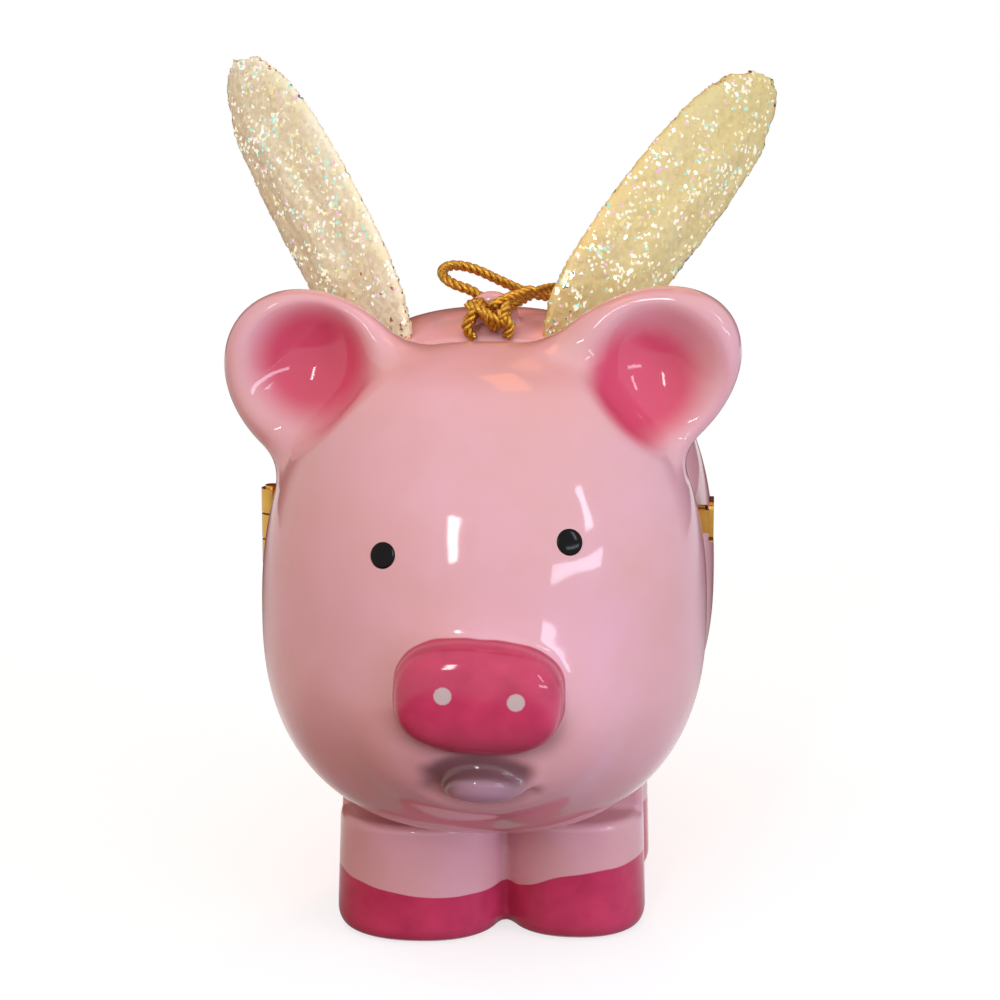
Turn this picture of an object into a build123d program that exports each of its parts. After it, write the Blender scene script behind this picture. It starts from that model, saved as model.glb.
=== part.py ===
from build123d import *
import math
import os

# Hinged porcelain trinket box and hanging ornament in the shape of a winged pig.
# Lengths in millimetres, angles in degrees. +Z is up, the face looks along -Y and
# +X is the viewer's right. The origin lies on the ground, under the middle of the
# figure without its cord.

os.makedirs("parts", exist_ok=True)

# Head: half sizes where it is widest, and its lengths from the seam plane
HEAD_HALF_WIDTH = 22.5
HEAD_CROWN_RISE = 27.3
HEAD_CHIN_DROP = 22.8
HEAD_CENTRE_HEIGHT = 36.2
HEAD_SET_FORWARD = 6.6
HEAD_REACH = 21.0

# Body: it shares the head's rim, and swells behind it
BODY_SET_BACK = 9.5
BODY_REACH = 24.5

# Outlines of head and body: 2 is an ellipse, more is fuller in the cheeks
FULLNESS = 2.4
OUTLINE_POINTS = 16
DOME_SECTIONS = 7
LAST_SECTION_ANGLE = 84.0

# Porcelain
WALL = 2.5
RIM_LAND = 3.0
PAD_ROUND = 2.2

# Ears: rounded plates, the right one longer and more slanted, with a bowl pressed into each
EAR_HALF_THICKNESS = 2.7
EAR_ROUND = 2.3
EAR_SET_BACK = 0.6
LEFT_EAR_SPREAD = 16.1
LEFT_EAR_HEIGHT = 58.9
LEFT_EAR_TILT = 49.0
LEFT_EAR_HALF_WIDTH = 8.65
LEFT_EAR_HALF_LENGTH = 11.0
RIGHT_EAR_SPREAD = 14.4
RIGHT_EAR_HEIGHT = 59.5
RIGHT_EAR_TILT = 54.8
RIGHT_EAR_HALF_WIDTH = 8.4
RIGHT_EAR_HALF_LENGTH = 12.3
EAR_BOWL_SPREAD = 17.9
EAR_BOWL_HEIGHT = 61.2
EAR_BOWL_FORWARD = 4.4
EAR_BOWL_HALF_WIDTH = 6.4
EAR_BOWL_HALF_LENGTH = 5.4
EAR_BOWL_HALF_DEPTH = 5.0
EAR_BOWL_TILT = 50.0
EAR_BOWL_TIP = 15.0

# Muzzle, snout and lower lip
MUZZLE_HALF_WIDTH = 11.0
MUZZLE_HALF_HEIGHT = 9.0
MUZZLE_HALF_DEPTH = 4.6
MUZZLE_PROUD = 1.0
SNOUT_HALF_WIDTH = 8.1
SNOUT_HALF_HEIGHT = 5.4
SNOUT_TILT = 3.5
SNOUT_PROUD = 4.6
SNOUT_SIDE_OFFSET = 1.0
SNOUT_HEIGHT = 33.8
SNOUT_ROOT = 6.0
LIP_HALF_WIDTH = 4.6
LIP_HALF_HEIGHT = 1.9
LIP_HALF_DEPTH = 3.4
LIP_HEIGHT = 24.6
LIP_PROUD = 1.5

# Legs: two fused pairs, with hooves a little wider than the legs. The left front leg is
# wider than the right one and stands a little further forward.
LEFT_LEG_SPREAD = 7.2
LEFT_HOOF_HALF_WIDTH = 8.9
LEFT_LEG_HALF_DEPTH = 8.2
RIGHT_LEG_SPREAD = 9.1
RIGHT_HOOF_HALF_WIDTH = 7.4
RIGHT_LEG_HALF_DEPTH = 7.1
FRONT_LEGS_BEHIND_SEAM = 9.0
LEG_PAIR_GAP = 3.6
REAR_LEG_HALF_DEPTH = 7.0
LEG_WAIST_SHARE = 0.92
HOOF_FOOT_SHARE = 0.88
HOOF_ROUND = 1.8
HOOF_HEIGHT = 5.4
LEG_COLUMN_HEIGHT = 24.0
CHIN_CLEARANCE = 0.6

# Curly tail, and the hanging loop moulded on the back
TAIL_COIL_RADIUS = 2.5
TAIL_RADIUS = 1.15
TAIL_PITCH = 2.9
TAIL_TURNS = 1.25
TAIL_HEIGHT = 43.0
TAIL_ROOT_DEPTH = 1.4
LOOP_MAJOR_RADIUS = 1.8
LOOP_BAR_RADIUS = 0.85
LOOP_BEHIND_SEAM = 5.1
LOOP_LIFT = 0.4

# Brass bezels on both rims
BEZEL_THICKNESS = 0.7
BEZEL_INSET = 0.3
COLLAR_THICKNESS = 0.5
COLLAR_DEPTH = 2.0
SEAM_GAP = 0.3

# Hinge on the viewer's left
KNUCKLE_RADIUS = 1.1
KNUCKLE_LENGTH = 2.5
KNUCKLE_GAP = 0.2
HINGE_TOP_HEIGHT = 47.0
HINGE_STANDOFF = 1.05
HINGE_LEAF_THICKNESS = 0.55
PIN_RADIUS = 0.4
PIN_CLEARANCE = 0.05
PIN_HEAD_RADIUS = 0.7
PIN_HEAD_RISE = 0.3

# Snap clasp on the viewer's right
CLASP_HEIGHT = 44.3
LATCH_HALF_HEIGHT = 2.1
LATCH_THICKNESS = 0.5
LATCH_AHEAD = 1.6
LATCH_BEHIND = 2.4
LATCH_CORNER_RADIUS = 0.7
LATCH_FOOT_HALF_HEIGHT = 1.2
LATCH_STANDOFF = 1.2
CATCH_HALF_HEIGHT = 1.4
CATCH_BEAD_RADIUS = 0.35
CATCH_CLEARANCE = 0.1

# Wings: the blade is an ellipse whose axis lies further in than its peg, with feathers
# along its outer edge
WING_BLADE_HALF_LENGTH = 20.0
WING_BLADE_CENTRE = 15.0
WING_AXIS_INWARD = 1.1
WING_HALF_CHORD = 6.5
WING_HALF_THICKNESS = 1.35
WING_SWEEP = 40.0
WING_BEHIND_SEAM = 5.5
LEFT_WING_SPREAD = 11.8
LEFT_WING_LEAN = 39.2
RIGHT_WING_SPREAD = 9.4
RIGHT_WING_LEAN = 46.2
FEATHER_COUNT = 4
FEATHER_HALF_LENGTH = 6.6
FEATHER_HALF_WIDTH = 2.1
FEATHER_HALF_THICKNESS = 1.0
FEATHER_FAN = 14.0
FEATHER_FIRST_SHARE = -0.37
FEATHER_LAST_SHARE = 0.43
FEATHER_EDGE_SHARE = 0.64
TIP_HALF_WIDTH = 4.3
TIP_HALF_LENGTH = 8.6
TIP_OUT = 0.6
COVERT_COUNT = 4
COVERT_HALF_LENGTH = 5.4
COVERT_HALF_WIDTH = 2.3
COVERT_HALF_THICKNESS = 1.75
COVERT_EDGE_SHARE = 0.22
PEG_RADIUS = 1.2
PEG_LENGTH = 2.2
PEG_CLEARANCE = 0.1

# Metallic hanging cord and its knot
CORD_RADIUS = 0.55
FILLET_SHARE = 0.45
KNOT_CORE_RADIUS = 1.3
KNOT_WRAP_RADIUS = 1.75
KNOT_WRAP_WIDTH = 1.5
KNOT_WRAP_SHIFT = 1.6
KNOT_WRAP_TILT = 18.0
KNOT_TAIL_LENGTH = 2.1
KNOT_TAIL_SPREAD = 55.0
KNOT_TAIL_FORWARD = 20.0
KNOT_CENTRE = (-0.1, 2.1, 65.1)

# The cord's route, with y measured from the seam plane: out of the knot's back,
# through the loop, round the small bend on the left, behind the right wing, over the
# back, and home to the knot
CORD_ROUTE = [
    (0.1, 2.9, 64.6),
    (0.1, 7.1, 64.6),
    (-2.1, 7.7, 66.5),
    (-3.9, 7.7, 67.0),
    (-5.2, 8.4, 67.6),
    (-5.8, 10.5, 68.2),
    (-4.7, 12.4, 68.5),
    (-2.4, 13.1, 68.0),
    (0.7, 13.1, 66.5),
    (3.4, 14.2, 65.1),
    (6.4, 15.9, 64.5),
    (9.2, 18.2, 63.3),
    (10.9, 20.9, 61.3),
    (11.8, 25.3, 56.5),
    (12.0, 29.3, 50.5),
    (11.7, 31.9, 43.8),
    (11.1, 33.3, 36.6),
    (10.7, 33.7, 27.6),
    (11.9, 34.0, 23.2),
    (15.0, 33.2, 20.9),
    (18.0, 31.6, 23.0),
    (19.3, 30.3, 27.6),
    (19.9, 29.6, 35.2),
    (19.5, 28.1, 41.6),
    (18.4, 25.5, 48.8),
    (16.2, 21.8, 56.0),
    (13.0, 17.4, 62.3),
    (9.5, 13.1, 65.9),
    (5.9, 9.1, 66.8),
    (3.8, 5.7, 66.5),
    (1.5, 2.8, 65.3),
]

# Lengths that follow from those above
rim_share = math.sqrt(1 - (HEAD_SET_FORWARD / HEAD_REACH) ** 2)
body_swell = rim_share / math.sqrt(1 - (BODY_SET_BACK / BODY_REACH) ** 2)
rim_half_width = HEAD_HALF_WIDTH * rim_share
rim_rise = HEAD_CROWN_RISE * rim_share
rim_drop = HEAD_CHIN_DROP * rim_share
head_depth = HEAD_SET_FORWARD + HEAD_REACH
body_depth = BODY_SET_BACK + BODY_REACH
tail_proud = 2 * TAIL_COIL_RADIUS - TAIL_ROOT_DEPTH + TAIL_RADIUS
seam = (head_depth + SNOUT_PROUD - body_depth - tail_proud) / 2
leg_top = HEAD_CENTRE_HEIGHT - HEAD_CHIN_DROP - CHIN_CLEARANCE
rim_setback = SEAM_GAP / 2 + BEZEL_THICKNESS
overrun = HEAD_REACH


def full_outline(half_width, rise, drop, centre):
    """Closed outline across the figure round a centre, fuller than an ellipse."""
    points = []
    for step in range(OUTLINE_POINTS):
        angle = 2 * math.pi * step / OUTLINE_POINTS
        across = math.copysign(abs(math.cos(angle)) ** (2 / FULLNESS), math.cos(angle))
        upward = math.copysign(abs(math.sin(angle)) ** (2 / FULLNESS), math.sin(angle))
        height = rise if upward >= 0 else drop
        points.append(centre + Vector(half_width * across, 0, height * upward))
    return Face(Wire([Spline(*points, periodic=True)]))


def oval(half_width, rise, drop, y):
    """Outline of head, body or rim at one y."""
    return full_outline(half_width, rise, drop, Vector(0, y, HEAD_CENTRE_HEIGHT))


def dome(sizes, widest_y, reach, start_y, direction):
    """Half shell form from start_y, past its widest section, to its pole."""
    half_width, rise, drop = sizes
    first = math.asin((start_y - widest_y) * direction / reach)
    last = math.radians(LAST_SECTION_ANGLE)
    sections = []
    for step in range(DOME_SECTIONS + 1):
        angle = first + (last - first) * step / DOME_SECTIONS
        share = math.cos(angle)
        y = widest_y + direction * reach * math.sin(angle)
        sections.append(oval(half_width * share, rise * share, drop * share, y))
    sections.append(Vertex(0, widest_y + direction * reach, HEAD_CENTRE_HEIGHT))
    return loft(sections)


def ellipsoid(half_x, half_y, half_z):
    return scale(Sphere(1), (half_x, half_y, half_z))


def slab(outline_face, thickness, direction):
    return extrude(outline_face, amount=thickness, dir=(0, direction, 0))


def rim_outline(inset, y):
    return oval(rim_half_width - inset, rim_rise - inset, rim_drop - inset, y)


def body_surface_height(x, y):
    """Height of the body's outer surface above a place on the ground plan."""
    share = math.sqrt(1 - ((y - seam - BODY_SET_BACK) / BODY_REACH) ** 2)
    half_width = HEAD_HALF_WIDTH * body_swell * share
    rise = HEAD_CROWN_RISE * body_swell * share
    upward = (1 - abs(x / half_width) ** FULLNESS) ** (1 / FULLNESS)
    return HEAD_CENTRE_HEIGHT + rise * upward


def hollow_dome(swell, widest_y, reach, direction):
    """Outer form and porcelain wall of the head or the body, open at its rim."""
    rim_y = seam + direction * rim_setback
    outer_sizes = [HEAD_HALF_WIDTH * swell, HEAD_CROWN_RISE * swell, HEAD_CHIN_DROP * swell]
    inner_sizes = [size - WALL for size in outer_sizes]
    outer = dome(outer_sizes, widest_y, reach, rim_y, direction)
    cavity_y = rim_y + direction * COLLAR_DEPTH
    cavity = dome(inner_sizes, widest_y, reach - WALL, cavity_y, direction)
    mouth = slab(rim_outline(RIM_LAND, rim_y), COLLAR_DEPTH, direction)
    return outer, cavity + mouth


# Head shell
ear_y = seam - HEAD_SET_FORWARD + EAR_SET_BACK
left_ear_sizes = (LEFT_EAR_SPREAD, LEFT_EAR_HEIGHT, LEFT_EAR_TILT, LEFT_EAR_HALF_WIDTH, LEFT_EAR_HALF_LENGTH)
right_ear_sizes = (
    RIGHT_EAR_SPREAD,
    RIGHT_EAR_HEIGHT,
    RIGHT_EAR_TILT,
    RIGHT_EAR_HALF_WIDTH,
    RIGHT_EAR_HALF_LENGTH,
)


def ear_plate(side, spread, height, tilt, half_width, half_length):
    """Rounded plate of the ear on the viewer's right (1) or left (-1)."""
    plane = Plane(origin=(0, EAR_HALF_THICKNESS, 0), x_dir=(1, 0, 0), z_dir=(0, -1, 0))
    plate = extrude(plane * Ellipse(half_width, half_length), 2 * EAR_HALF_THICKNESS)
    plate = fillet(plate.edges().filter_by(GeomType.ELLIPSE), EAR_ROUND)
    return plate.rotate(Axis.Y, side * tilt).moved(Pos(side * spread, ear_y, height))


def ear_bowl(side):
    """Bowl pressed into an ear, deepest at its upper inner side."""
    bowl = ellipsoid(EAR_BOWL_HALF_WIDTH, EAR_BOWL_HALF_DEPTH, EAR_BOWL_HALF_LENGTH)
    bowl = bowl.rotate(Axis.Z, -side * EAR_BOWL_TIP).rotate(Axis.Y, side * EAR_BOWL_TILT)
    return bowl.moved(Pos(side * EAR_BOWL_SPREAD, ear_y - EAR_BOWL_FORWARD, EAR_BOWL_HEIGHT))


def snout():
    """Full oval pad on the front of the head, with a rounded front edge."""
    front = Vector(SNOUT_SIDE_OFFSET, seam - head_depth - SNOUT_PROUD, SNOUT_HEIGHT)
    outline = full_outline(SNOUT_HALF_WIDTH, SNOUT_HALF_HEIGHT, SNOUT_HALF_HEIGHT, front)
    pad = slab(outline, SNOUT_PROUD + SNOUT_ROOT, 1)
    pad = fillet(pad.edges().sort_by(Axis.Y)[0], PAD_ROUND)
    return pad.rotate(Axis(front, (0, 1, 0)), SNOUT_TILT)


def swelling(half_width, half_depth, half_height, height, proud):
    """Low bulge of the face, its place worked out from the head's surface."""
    drop_share = (HEAD_CENTRE_HEIGHT - height) / HEAD_CHIN_DROP
    surface_y = seam - HEAD_SET_FORWARD - HEAD_REACH * math.sqrt(1 - drop_share ** 2)
    form = ellipsoid(half_width, half_depth, half_height)
    return form.moved(Pos(SNOUT_SIDE_OFFSET, surface_y - proud + half_depth, height))


def make_head_shell():
    outer, hollow = hollow_dome(1, seam - HEAD_SET_FORWARD, HEAD_REACH, -1)
    muzzle = swelling(MUZZLE_HALF_WIDTH, MUZZLE_HALF_DEPTH, MUZZLE_HALF_HEIGHT, SNOUT_HEIGHT, MUZZLE_PROUD)
    lip = swelling(LIP_HALF_WIDTH, LIP_HALF_DEPTH, LIP_HALF_HEIGHT, LIP_HEIGHT, LIP_PROUD)
    head = outer + ear_plate(-1, *left_ear_sizes) + ear_plate(1, *right_ear_sizes)
    head = head + muzzle + snout() + lip
    return head - ear_bowl(-1) - ear_bowl(1) - hollow


# Body shell
def leg(centre_x, centre_y, half_width, half_depth):
    """Rounded column that stands on a flat hoof."""
    levels = [0, HOOF_ROUND, HOOF_HEIGHT, leg_top, LEG_COLUMN_HEIGHT]
    shares = [HOOF_FOOT_SHARE, 1, 1, LEG_WAIST_SHARE, LEG_WAIST_SHARE]
    sections = []
    for level, share in zip(levels, shares):
        plane = Plane(origin=(centre_x, centre_y, level))
        sections.append(plane * Ellipse(half_width * share, half_depth * share))
    return loft(sections)


def legs():
    """Front and rear pairs; the part ahead of the seam stays under the chin."""
    front_end_y = seam + FRONT_LEGS_BEHIND_SEAM
    rear_y = front_end_y + LEG_PAIR_GAP + REAR_LEG_HALF_DEPTH
    leg_sizes = [
        (-LEFT_LEG_SPREAD, LEFT_HOOF_HALF_WIDTH, LEFT_LEG_HALF_DEPTH),
        (RIGHT_LEG_SPREAD, RIGHT_HOOF_HALF_WIDTH, RIGHT_LEG_HALF_DEPTH),
    ]
    pairs = Part()
    for centre_x, half_width, half_depth in leg_sizes:
        pairs = pairs + leg(centre_x, front_end_y - half_depth, half_width, half_depth)
        pairs = pairs + leg(centre_x, rear_y, half_width, REAR_LEG_HALF_DEPTH)
    chin_space = Box(2 * overrun, overrun, LEG_COLUMN_HEIGHT, align=(Align.CENTER, Align.MAX, Align.MIN))
    return pairs - chin_space.moved(Pos(0, seam + rim_setback, leg_top))


def tail():
    """One and a quarter turns of a curl that stands off the rump."""
    curl = Edge.make_helix(TAIL_PITCH, TAIL_PITCH * TAIL_TURNS, TAIL_COIL_RADIUS)
    section = Plane(origin=curl @ 0, z_dir=curl % 0) * Circle(TAIL_RADIUS)
    tip = Pos(*(curl @ 1)) * Sphere(TAIL_RADIUS)
    coil = sweep(section, path=curl) + tip
    coil = coil.rotate(Axis.Y, 90).rotate(Axis.Z, 0)
    centre_y = seam + body_depth - TAIL_ROOT_DEPTH + TAIL_COIL_RADIUS
    return coil.moved(Pos(-TAIL_PITCH * TAIL_TURNS / 2, centre_y, TAIL_HEIGHT))


def hanging_loop():
    """Ring whose lower part is buried in the top of the body."""
    loop_y = seam + LOOP_BEHIND_SEAM
    ring = Torus(LOOP_MAJOR_RADIUS, LOOP_BAR_RADIUS).rotate(Axis.X, 90)
    return ring.moved(Pos(0, loop_y, body_surface_height(0, loop_y) + LOOP_LIFT))


def make_body_shell():
    outer, hollow = hollow_dome(body_swell, seam + BODY_SET_BACK, BODY_REACH, 1)
    body = outer + legs() + tail() + hanging_loop()
    for side, spread, lean in wing_places:
        socket = Cylinder(PEG_RADIUS + PEG_CLEARANCE, 2 * (PEG_LENGTH + PEG_CLEARANCE))
        body = body - place_wing(socket, side, spread, lean)
    return outer, body - hollow


# Bezels
def make_bezel(direction):
    """Flange on the rim's face, with a collar inside the mouth."""
    seam_y = seam + direction * SEAM_GAP / 2
    rim_y = seam_y + direction * BEZEL_THICKNESS
    bore_inset = RIM_LAND + COLLAR_THICKNESS
    flange = slab(rim_outline(BEZEL_INSET, seam_y), BEZEL_THICKNESS, direction)
    collar = slab(rim_outline(RIM_LAND, rim_y), COLLAR_DEPTH, direction)
    bore = slab(rim_outline(bore_inset, seam_y), BEZEL_THICKNESS + COLLAR_DEPTH, direction)
    return flange + collar - bore


# Hinge
hinge_x = -(rim_half_width + HINGE_STANDOFF)
hinge_pitch = KNUCKLE_LENGTH + KNUCKLE_GAP
hinge_bottom_height = HINGE_TOP_HEIGHT - 3 * KNUCKLE_LENGTH - 2 * KNUCKLE_GAP


def knuckle_and_leaf(index, bore_radius, direction, bezel):
    """One knuckle on the pin, with a leaf that butts against the bezel's edge."""
    low = hinge_bottom_height + index * hinge_pitch
    stand = (Align.CENTER, Align.CENTER, Align.MIN)
    barrel = Cylinder(KNUCKLE_RADIUS, KNUCKLE_LENGTH, align=stand)
    bore = Cylinder(bore_radius, KNUCKLE_LENGTH, align=stand)
    leaf_align = (Align.MIN, Align.MAX if direction < 0 else Align.MIN, Align.MIN)
    leaf_width = KNUCKLE_RADIUS + HINGE_STANDOFF + RIM_LAND
    leaf = Box(leaf_width, HINGE_LEAF_THICKNESS, KNUCKLE_LENGTH, align=leaf_align)
    leaf = leaf.moved(Pos(0, direction * SEAM_GAP / 2, 0))
    piece = (barrel + leaf - bore).moved(Pos(hinge_x, seam, low))
    edge_face = slab(rim_outline(BEZEL_INSET, seam - overrun), 2 * overrun, 1)
    return piece - edge_face - bezel


def make_hinge_pin():
    length = HINGE_TOP_HEIGHT - hinge_bottom_height
    stand = (Align.CENTER, Align.CENTER, Align.MIN)
    pin = Cylinder(PIN_RADIUS, length, align=stand)
    for level in (-PIN_HEAD_RISE, length):
        pin = pin + Cylinder(PIN_HEAD_RADIUS, PIN_HEAD_RISE, align=stand).moved(Pos(0, 0, level))
    return pin.moved(Pos(hinge_x, seam, hinge_bottom_height))


# Clasp
latch_inner_x = rim_half_width + LATCH_STANDOFF


def make_clasp_latch():
    """Spring strap on the head's bezel that passes over the catch's bead."""
    length = LATCH_AHEAD + LATCH_BEHIND
    strap = Box(LATCH_THICKNESS, length, 2 * LATCH_HALF_HEIGHT, align=(Align.MIN, Align.MIN, Align.CENTER))
    strap = fillet(strap.edges().filter_by(Axis.X), LATCH_CORNER_RADIUS)
    strap = strap.moved(Pos(latch_inner_x, seam - LATCH_AHEAD, CLASP_HEIGHT))
    foot_width = LATCH_STANDOFF + RIM_LAND
    foot_align = (Align.MAX, Align.MAX, Align.CENTER)
    foot = Box(foot_width, BEZEL_THICKNESS, 2 * LATCH_FOOT_HALF_HEIGHT, align=foot_align)
    foot = foot.moved(Pos(latch_inner_x, seam - SEAM_GAP / 2, CLASP_HEIGHT))
    edge_face = slab(rim_outline(BEZEL_INSET, seam - overrun), 2 * overrun, 1)
    return strap + foot - edge_face


def make_clasp_catch():
    """Lug on the body's bezel with a half-round bead along its outer end."""
    bead_x = latch_inner_x - CATCH_CLEARANCE - CATCH_BEAD_RADIUS
    bead_y = seam + (SEAM_GAP + BEZEL_THICKNESS) / 2
    lug_align = (Align.MAX, Align.CENTER, Align.CENTER)
    lug = Box(LATCH_STANDOFF + RIM_LAND, BEZEL_THICKNESS, 2 * CATCH_HALF_HEIGHT, align=lug_align)
    bead = Cylinder(CATCH_BEAD_RADIUS, 2 * CATCH_HALF_HEIGHT)
    catch = (lug + bead).moved(Pos(bead_x, bead_y, CLASP_HEIGHT))
    edge_face = slab(rim_outline(BEZEL_INSET, seam - overrun), 2 * overrun, 1)
    return catch - edge_face


# Wings
wing_places = [(-1, LEFT_WING_SPREAD, LEFT_WING_LEAN), (1, RIGHT_WING_SPREAD, RIGHT_WING_LEAN)]


def place_wing(form, side, spread, lean):
    """Lean a form outward in the wing's plane, sweep it back and stand it on the body."""
    root_y = seam + WING_BEHIND_SEAM
    root = Pos(side * spread, root_y, body_surface_height(spread, root_y))
    return form.rotate(Axis.Y, side * lean).rotate(Axis.Z, side * WING_SWEEP).moved(root)


def feather_row(count, half_sizes, edge_share, side):
    """Long rounded feathers, one above the other, fanned towards the outer edge."""
    row = []
    for step in range(count):
        share = FEATHER_FIRST_SHARE + (FEATHER_LAST_SHARE - FEATHER_FIRST_SHARE) * step / (count - 1)
        half_chord = WING_HALF_CHORD * math.sqrt(1 - share ** 2)
        height = WING_BLADE_CENTRE + share * WING_BLADE_HALF_LENGTH
        feather = ellipsoid(*half_sizes).rotate(Axis.Y, side * FEATHER_FAN)
        across = half_chord * edge_share - WING_AXIS_INWARD
        row.append(feather.moved(Pos(side * across, 0, height)))
    return row


def make_wing(side, spread, lean, body_form):
    """Scalloped blade with two rows of feathers and a peg, trimmed to the body."""
    blade = ellipsoid(WING_HALF_CHORD, WING_HALF_THICKNESS, WING_BLADE_HALF_LENGTH)
    wing = blade.moved(Pos(-side * WING_AXIS_INWARD, 0, WING_BLADE_CENTRE))
    feather_sizes = (FEATHER_HALF_WIDTH, FEATHER_HALF_THICKNESS, FEATHER_HALF_LENGTH)
    covert_sizes = (COVERT_HALF_WIDTH, COVERT_HALF_THICKNESS, COVERT_HALF_LENGTH)
    tip = ellipsoid(TIP_HALF_WIDTH, FEATHER_HALF_THICKNESS, TIP_HALF_LENGTH)
    tip_height = WING_BLADE_CENTRE + WING_BLADE_HALF_LENGTH - TIP_HALF_LENGTH
    wing = wing + tip.moved(Pos(side * (TIP_OUT - WING_AXIS_INWARD), 0, tip_height))
    wing = wing + feather_row(FEATHER_COUNT, feather_sizes, FEATHER_EDGE_SHARE, side)
    wing = wing + feather_row(COVERT_COUNT, covert_sizes, COVERT_EDGE_SHARE, side)
    wing = place_wing(wing, side, spread, lean) - body_form
    peg = place_wing(Cylinder(PEG_RADIUS, 2 * PEG_LENGTH), side, spread, lean)
    return wing + peg


# Cord
def make_cord():
    """Tube of straight runs and tangent arcs, each as large as its runs allow."""
    points = [Vector(x, seam + y, z) for x, y, z in CORD_ROUTE]
    radii = []
    for before, corner, after in zip(points, points[1:], points[2:]):
        run_in = corner - before
        run_out = after - corner
        half_turn = math.radians(run_in.get_angle(run_out)) / 2
        radii.append(FILLET_SHARE * min(run_in.length, run_out.length) / math.tan(half_turn))
    path = FilletPolyline(*points, radius=radii)
    section = Plane(origin=path @ 0, z_dir=path % 0) * Circle(CORD_RADIUS)
    tube = sweep(section, path=path)
    print("cord radii", [round(radius, 1) for radius in radii])
    print("cord length", round(path.length, 1), "volume ratio",
          round(tube.volume / (path.length * math.pi * CORD_RADIUS ** 2), 4))
    return tube


def make_knot():
    """Overhand knot drawn tight: a core, two wraps of cord and two short tails."""
    knot = Cylinder(KNOT_CORE_RADIUS, 2 * KNOT_WRAP_SHIFT).rotate(Axis.Y, 90)
    for side in (-1, 1):
        wrap = Cylinder(KNOT_WRAP_RADIUS, KNOT_WRAP_WIDTH)
        wrap = fillet(wrap.edges().filter_by(GeomType.CIRCLE), CORD_RADIUS)
        wrap = wrap.rotate(Axis.Y, 90 + side * KNOT_WRAP_TILT)
        end = Cylinder(CORD_RADIUS, KNOT_TAIL_LENGTH, align=(Align.CENTER, Align.CENTER, Align.MAX))
        end = end.rotate(Axis.Y, -side * KNOT_TAIL_SPREAD).rotate(Axis.X, KNOT_TAIL_FORWARD)
        knot = knot + wrap.moved(Pos(side * KNOT_WRAP_SHIFT, 0, 0))
        knot = knot + end.moved(Pos(side * CORD_RADIUS, -CORD_RADIUS, -CORD_RADIUS))
    x, y, z = KNOT_CENTRE
    return knot.moved(Pos(x, seam + y, z))


body_form, body_shell = make_body_shell()
head_bezel = make_bezel(-1)
body_bezel = make_bezel(1)
knot = make_knot()
cord = (make_cord() - knot).solids().sort_by(SortBy.VOLUME)[-1]

nodes = {
    "head_shell": make_head_shell(),
    "head_bezel": head_bezel,
    "hinge_head_leaf": knuckle_and_leaf(1, PIN_RADIUS + PIN_CLEARANCE, -1, head_bezel),
    "clasp_latch": make_clasp_latch(),
    "body_shell": body_shell,
    "body_bezel": body_bezel,
    "hinge_body_leaf_upper": knuckle_and_leaf(2, PIN_RADIUS, 1, body_bezel),
    "hinge_body_leaf_lower": knuckle_and_leaf(0, PIN_RADIUS, 1, body_bezel),
    "hinge_pin": make_hinge_pin(),
    "clasp_catch": make_clasp_catch(),
    "hanging_cord": cord,
    "cord_knot": knot,
}
for side, spread, lean in wing_places:
    name = "left_wing" if side < 0 else "right_wing"
    nodes[name] = make_wing(side, spread, lean, body_form)

for name, form in nodes.items():
    export_step(form, "parts/" + name + ".step")
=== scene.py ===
"""Dresses the winged pig box: glazed porcelain, glittered wings, a metallic cord and brass fittings."""

import logging
import math
from collections.abc import Sequence
from dataclasses import dataclass, field
from enum import Enum

import bmesh
import bpy
import numpy as np
from mathutils import Matrix, Vector, noise


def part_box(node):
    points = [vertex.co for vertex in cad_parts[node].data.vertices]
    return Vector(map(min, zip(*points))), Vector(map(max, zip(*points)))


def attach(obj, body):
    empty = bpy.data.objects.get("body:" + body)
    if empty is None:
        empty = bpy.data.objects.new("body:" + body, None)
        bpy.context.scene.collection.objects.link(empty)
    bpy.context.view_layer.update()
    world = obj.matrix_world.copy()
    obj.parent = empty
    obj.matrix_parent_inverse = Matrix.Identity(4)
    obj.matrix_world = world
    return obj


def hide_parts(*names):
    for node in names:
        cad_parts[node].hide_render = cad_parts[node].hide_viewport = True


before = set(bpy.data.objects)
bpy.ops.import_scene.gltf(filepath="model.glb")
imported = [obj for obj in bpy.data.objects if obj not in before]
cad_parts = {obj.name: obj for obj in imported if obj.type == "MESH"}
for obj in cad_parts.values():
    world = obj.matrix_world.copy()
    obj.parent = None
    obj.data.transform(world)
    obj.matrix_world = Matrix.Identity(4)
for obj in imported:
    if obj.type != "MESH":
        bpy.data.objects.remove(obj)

MM = 0.001
# Half size, in millimetres, of a block that cuts away all that lies beyond one plane
ROOM = 60.0
log = logging.getLogger("pig_box")


# Small helpers


def linear(hex_colour: str) -> tuple[float, float, float, float]:
    """Turns an sRGB hex colour into the linear one that a shader takes.

    Args:
        hex_colour: Six hex digits after a hash sign.

    Returns:
        Linear red, green, blue and full opacity.
    """
    digits = hex_colour.lstrip("#")
    parts = [int(digits[start:start + 2], 16) / 255 for start in (0, 2, 4)]
    flat = [c / 12.92 if c <= 0.04045 else ((c + 0.055) / 1.055) ** 2.4 for c in parts]
    return (*flat, 1.0)


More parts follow.
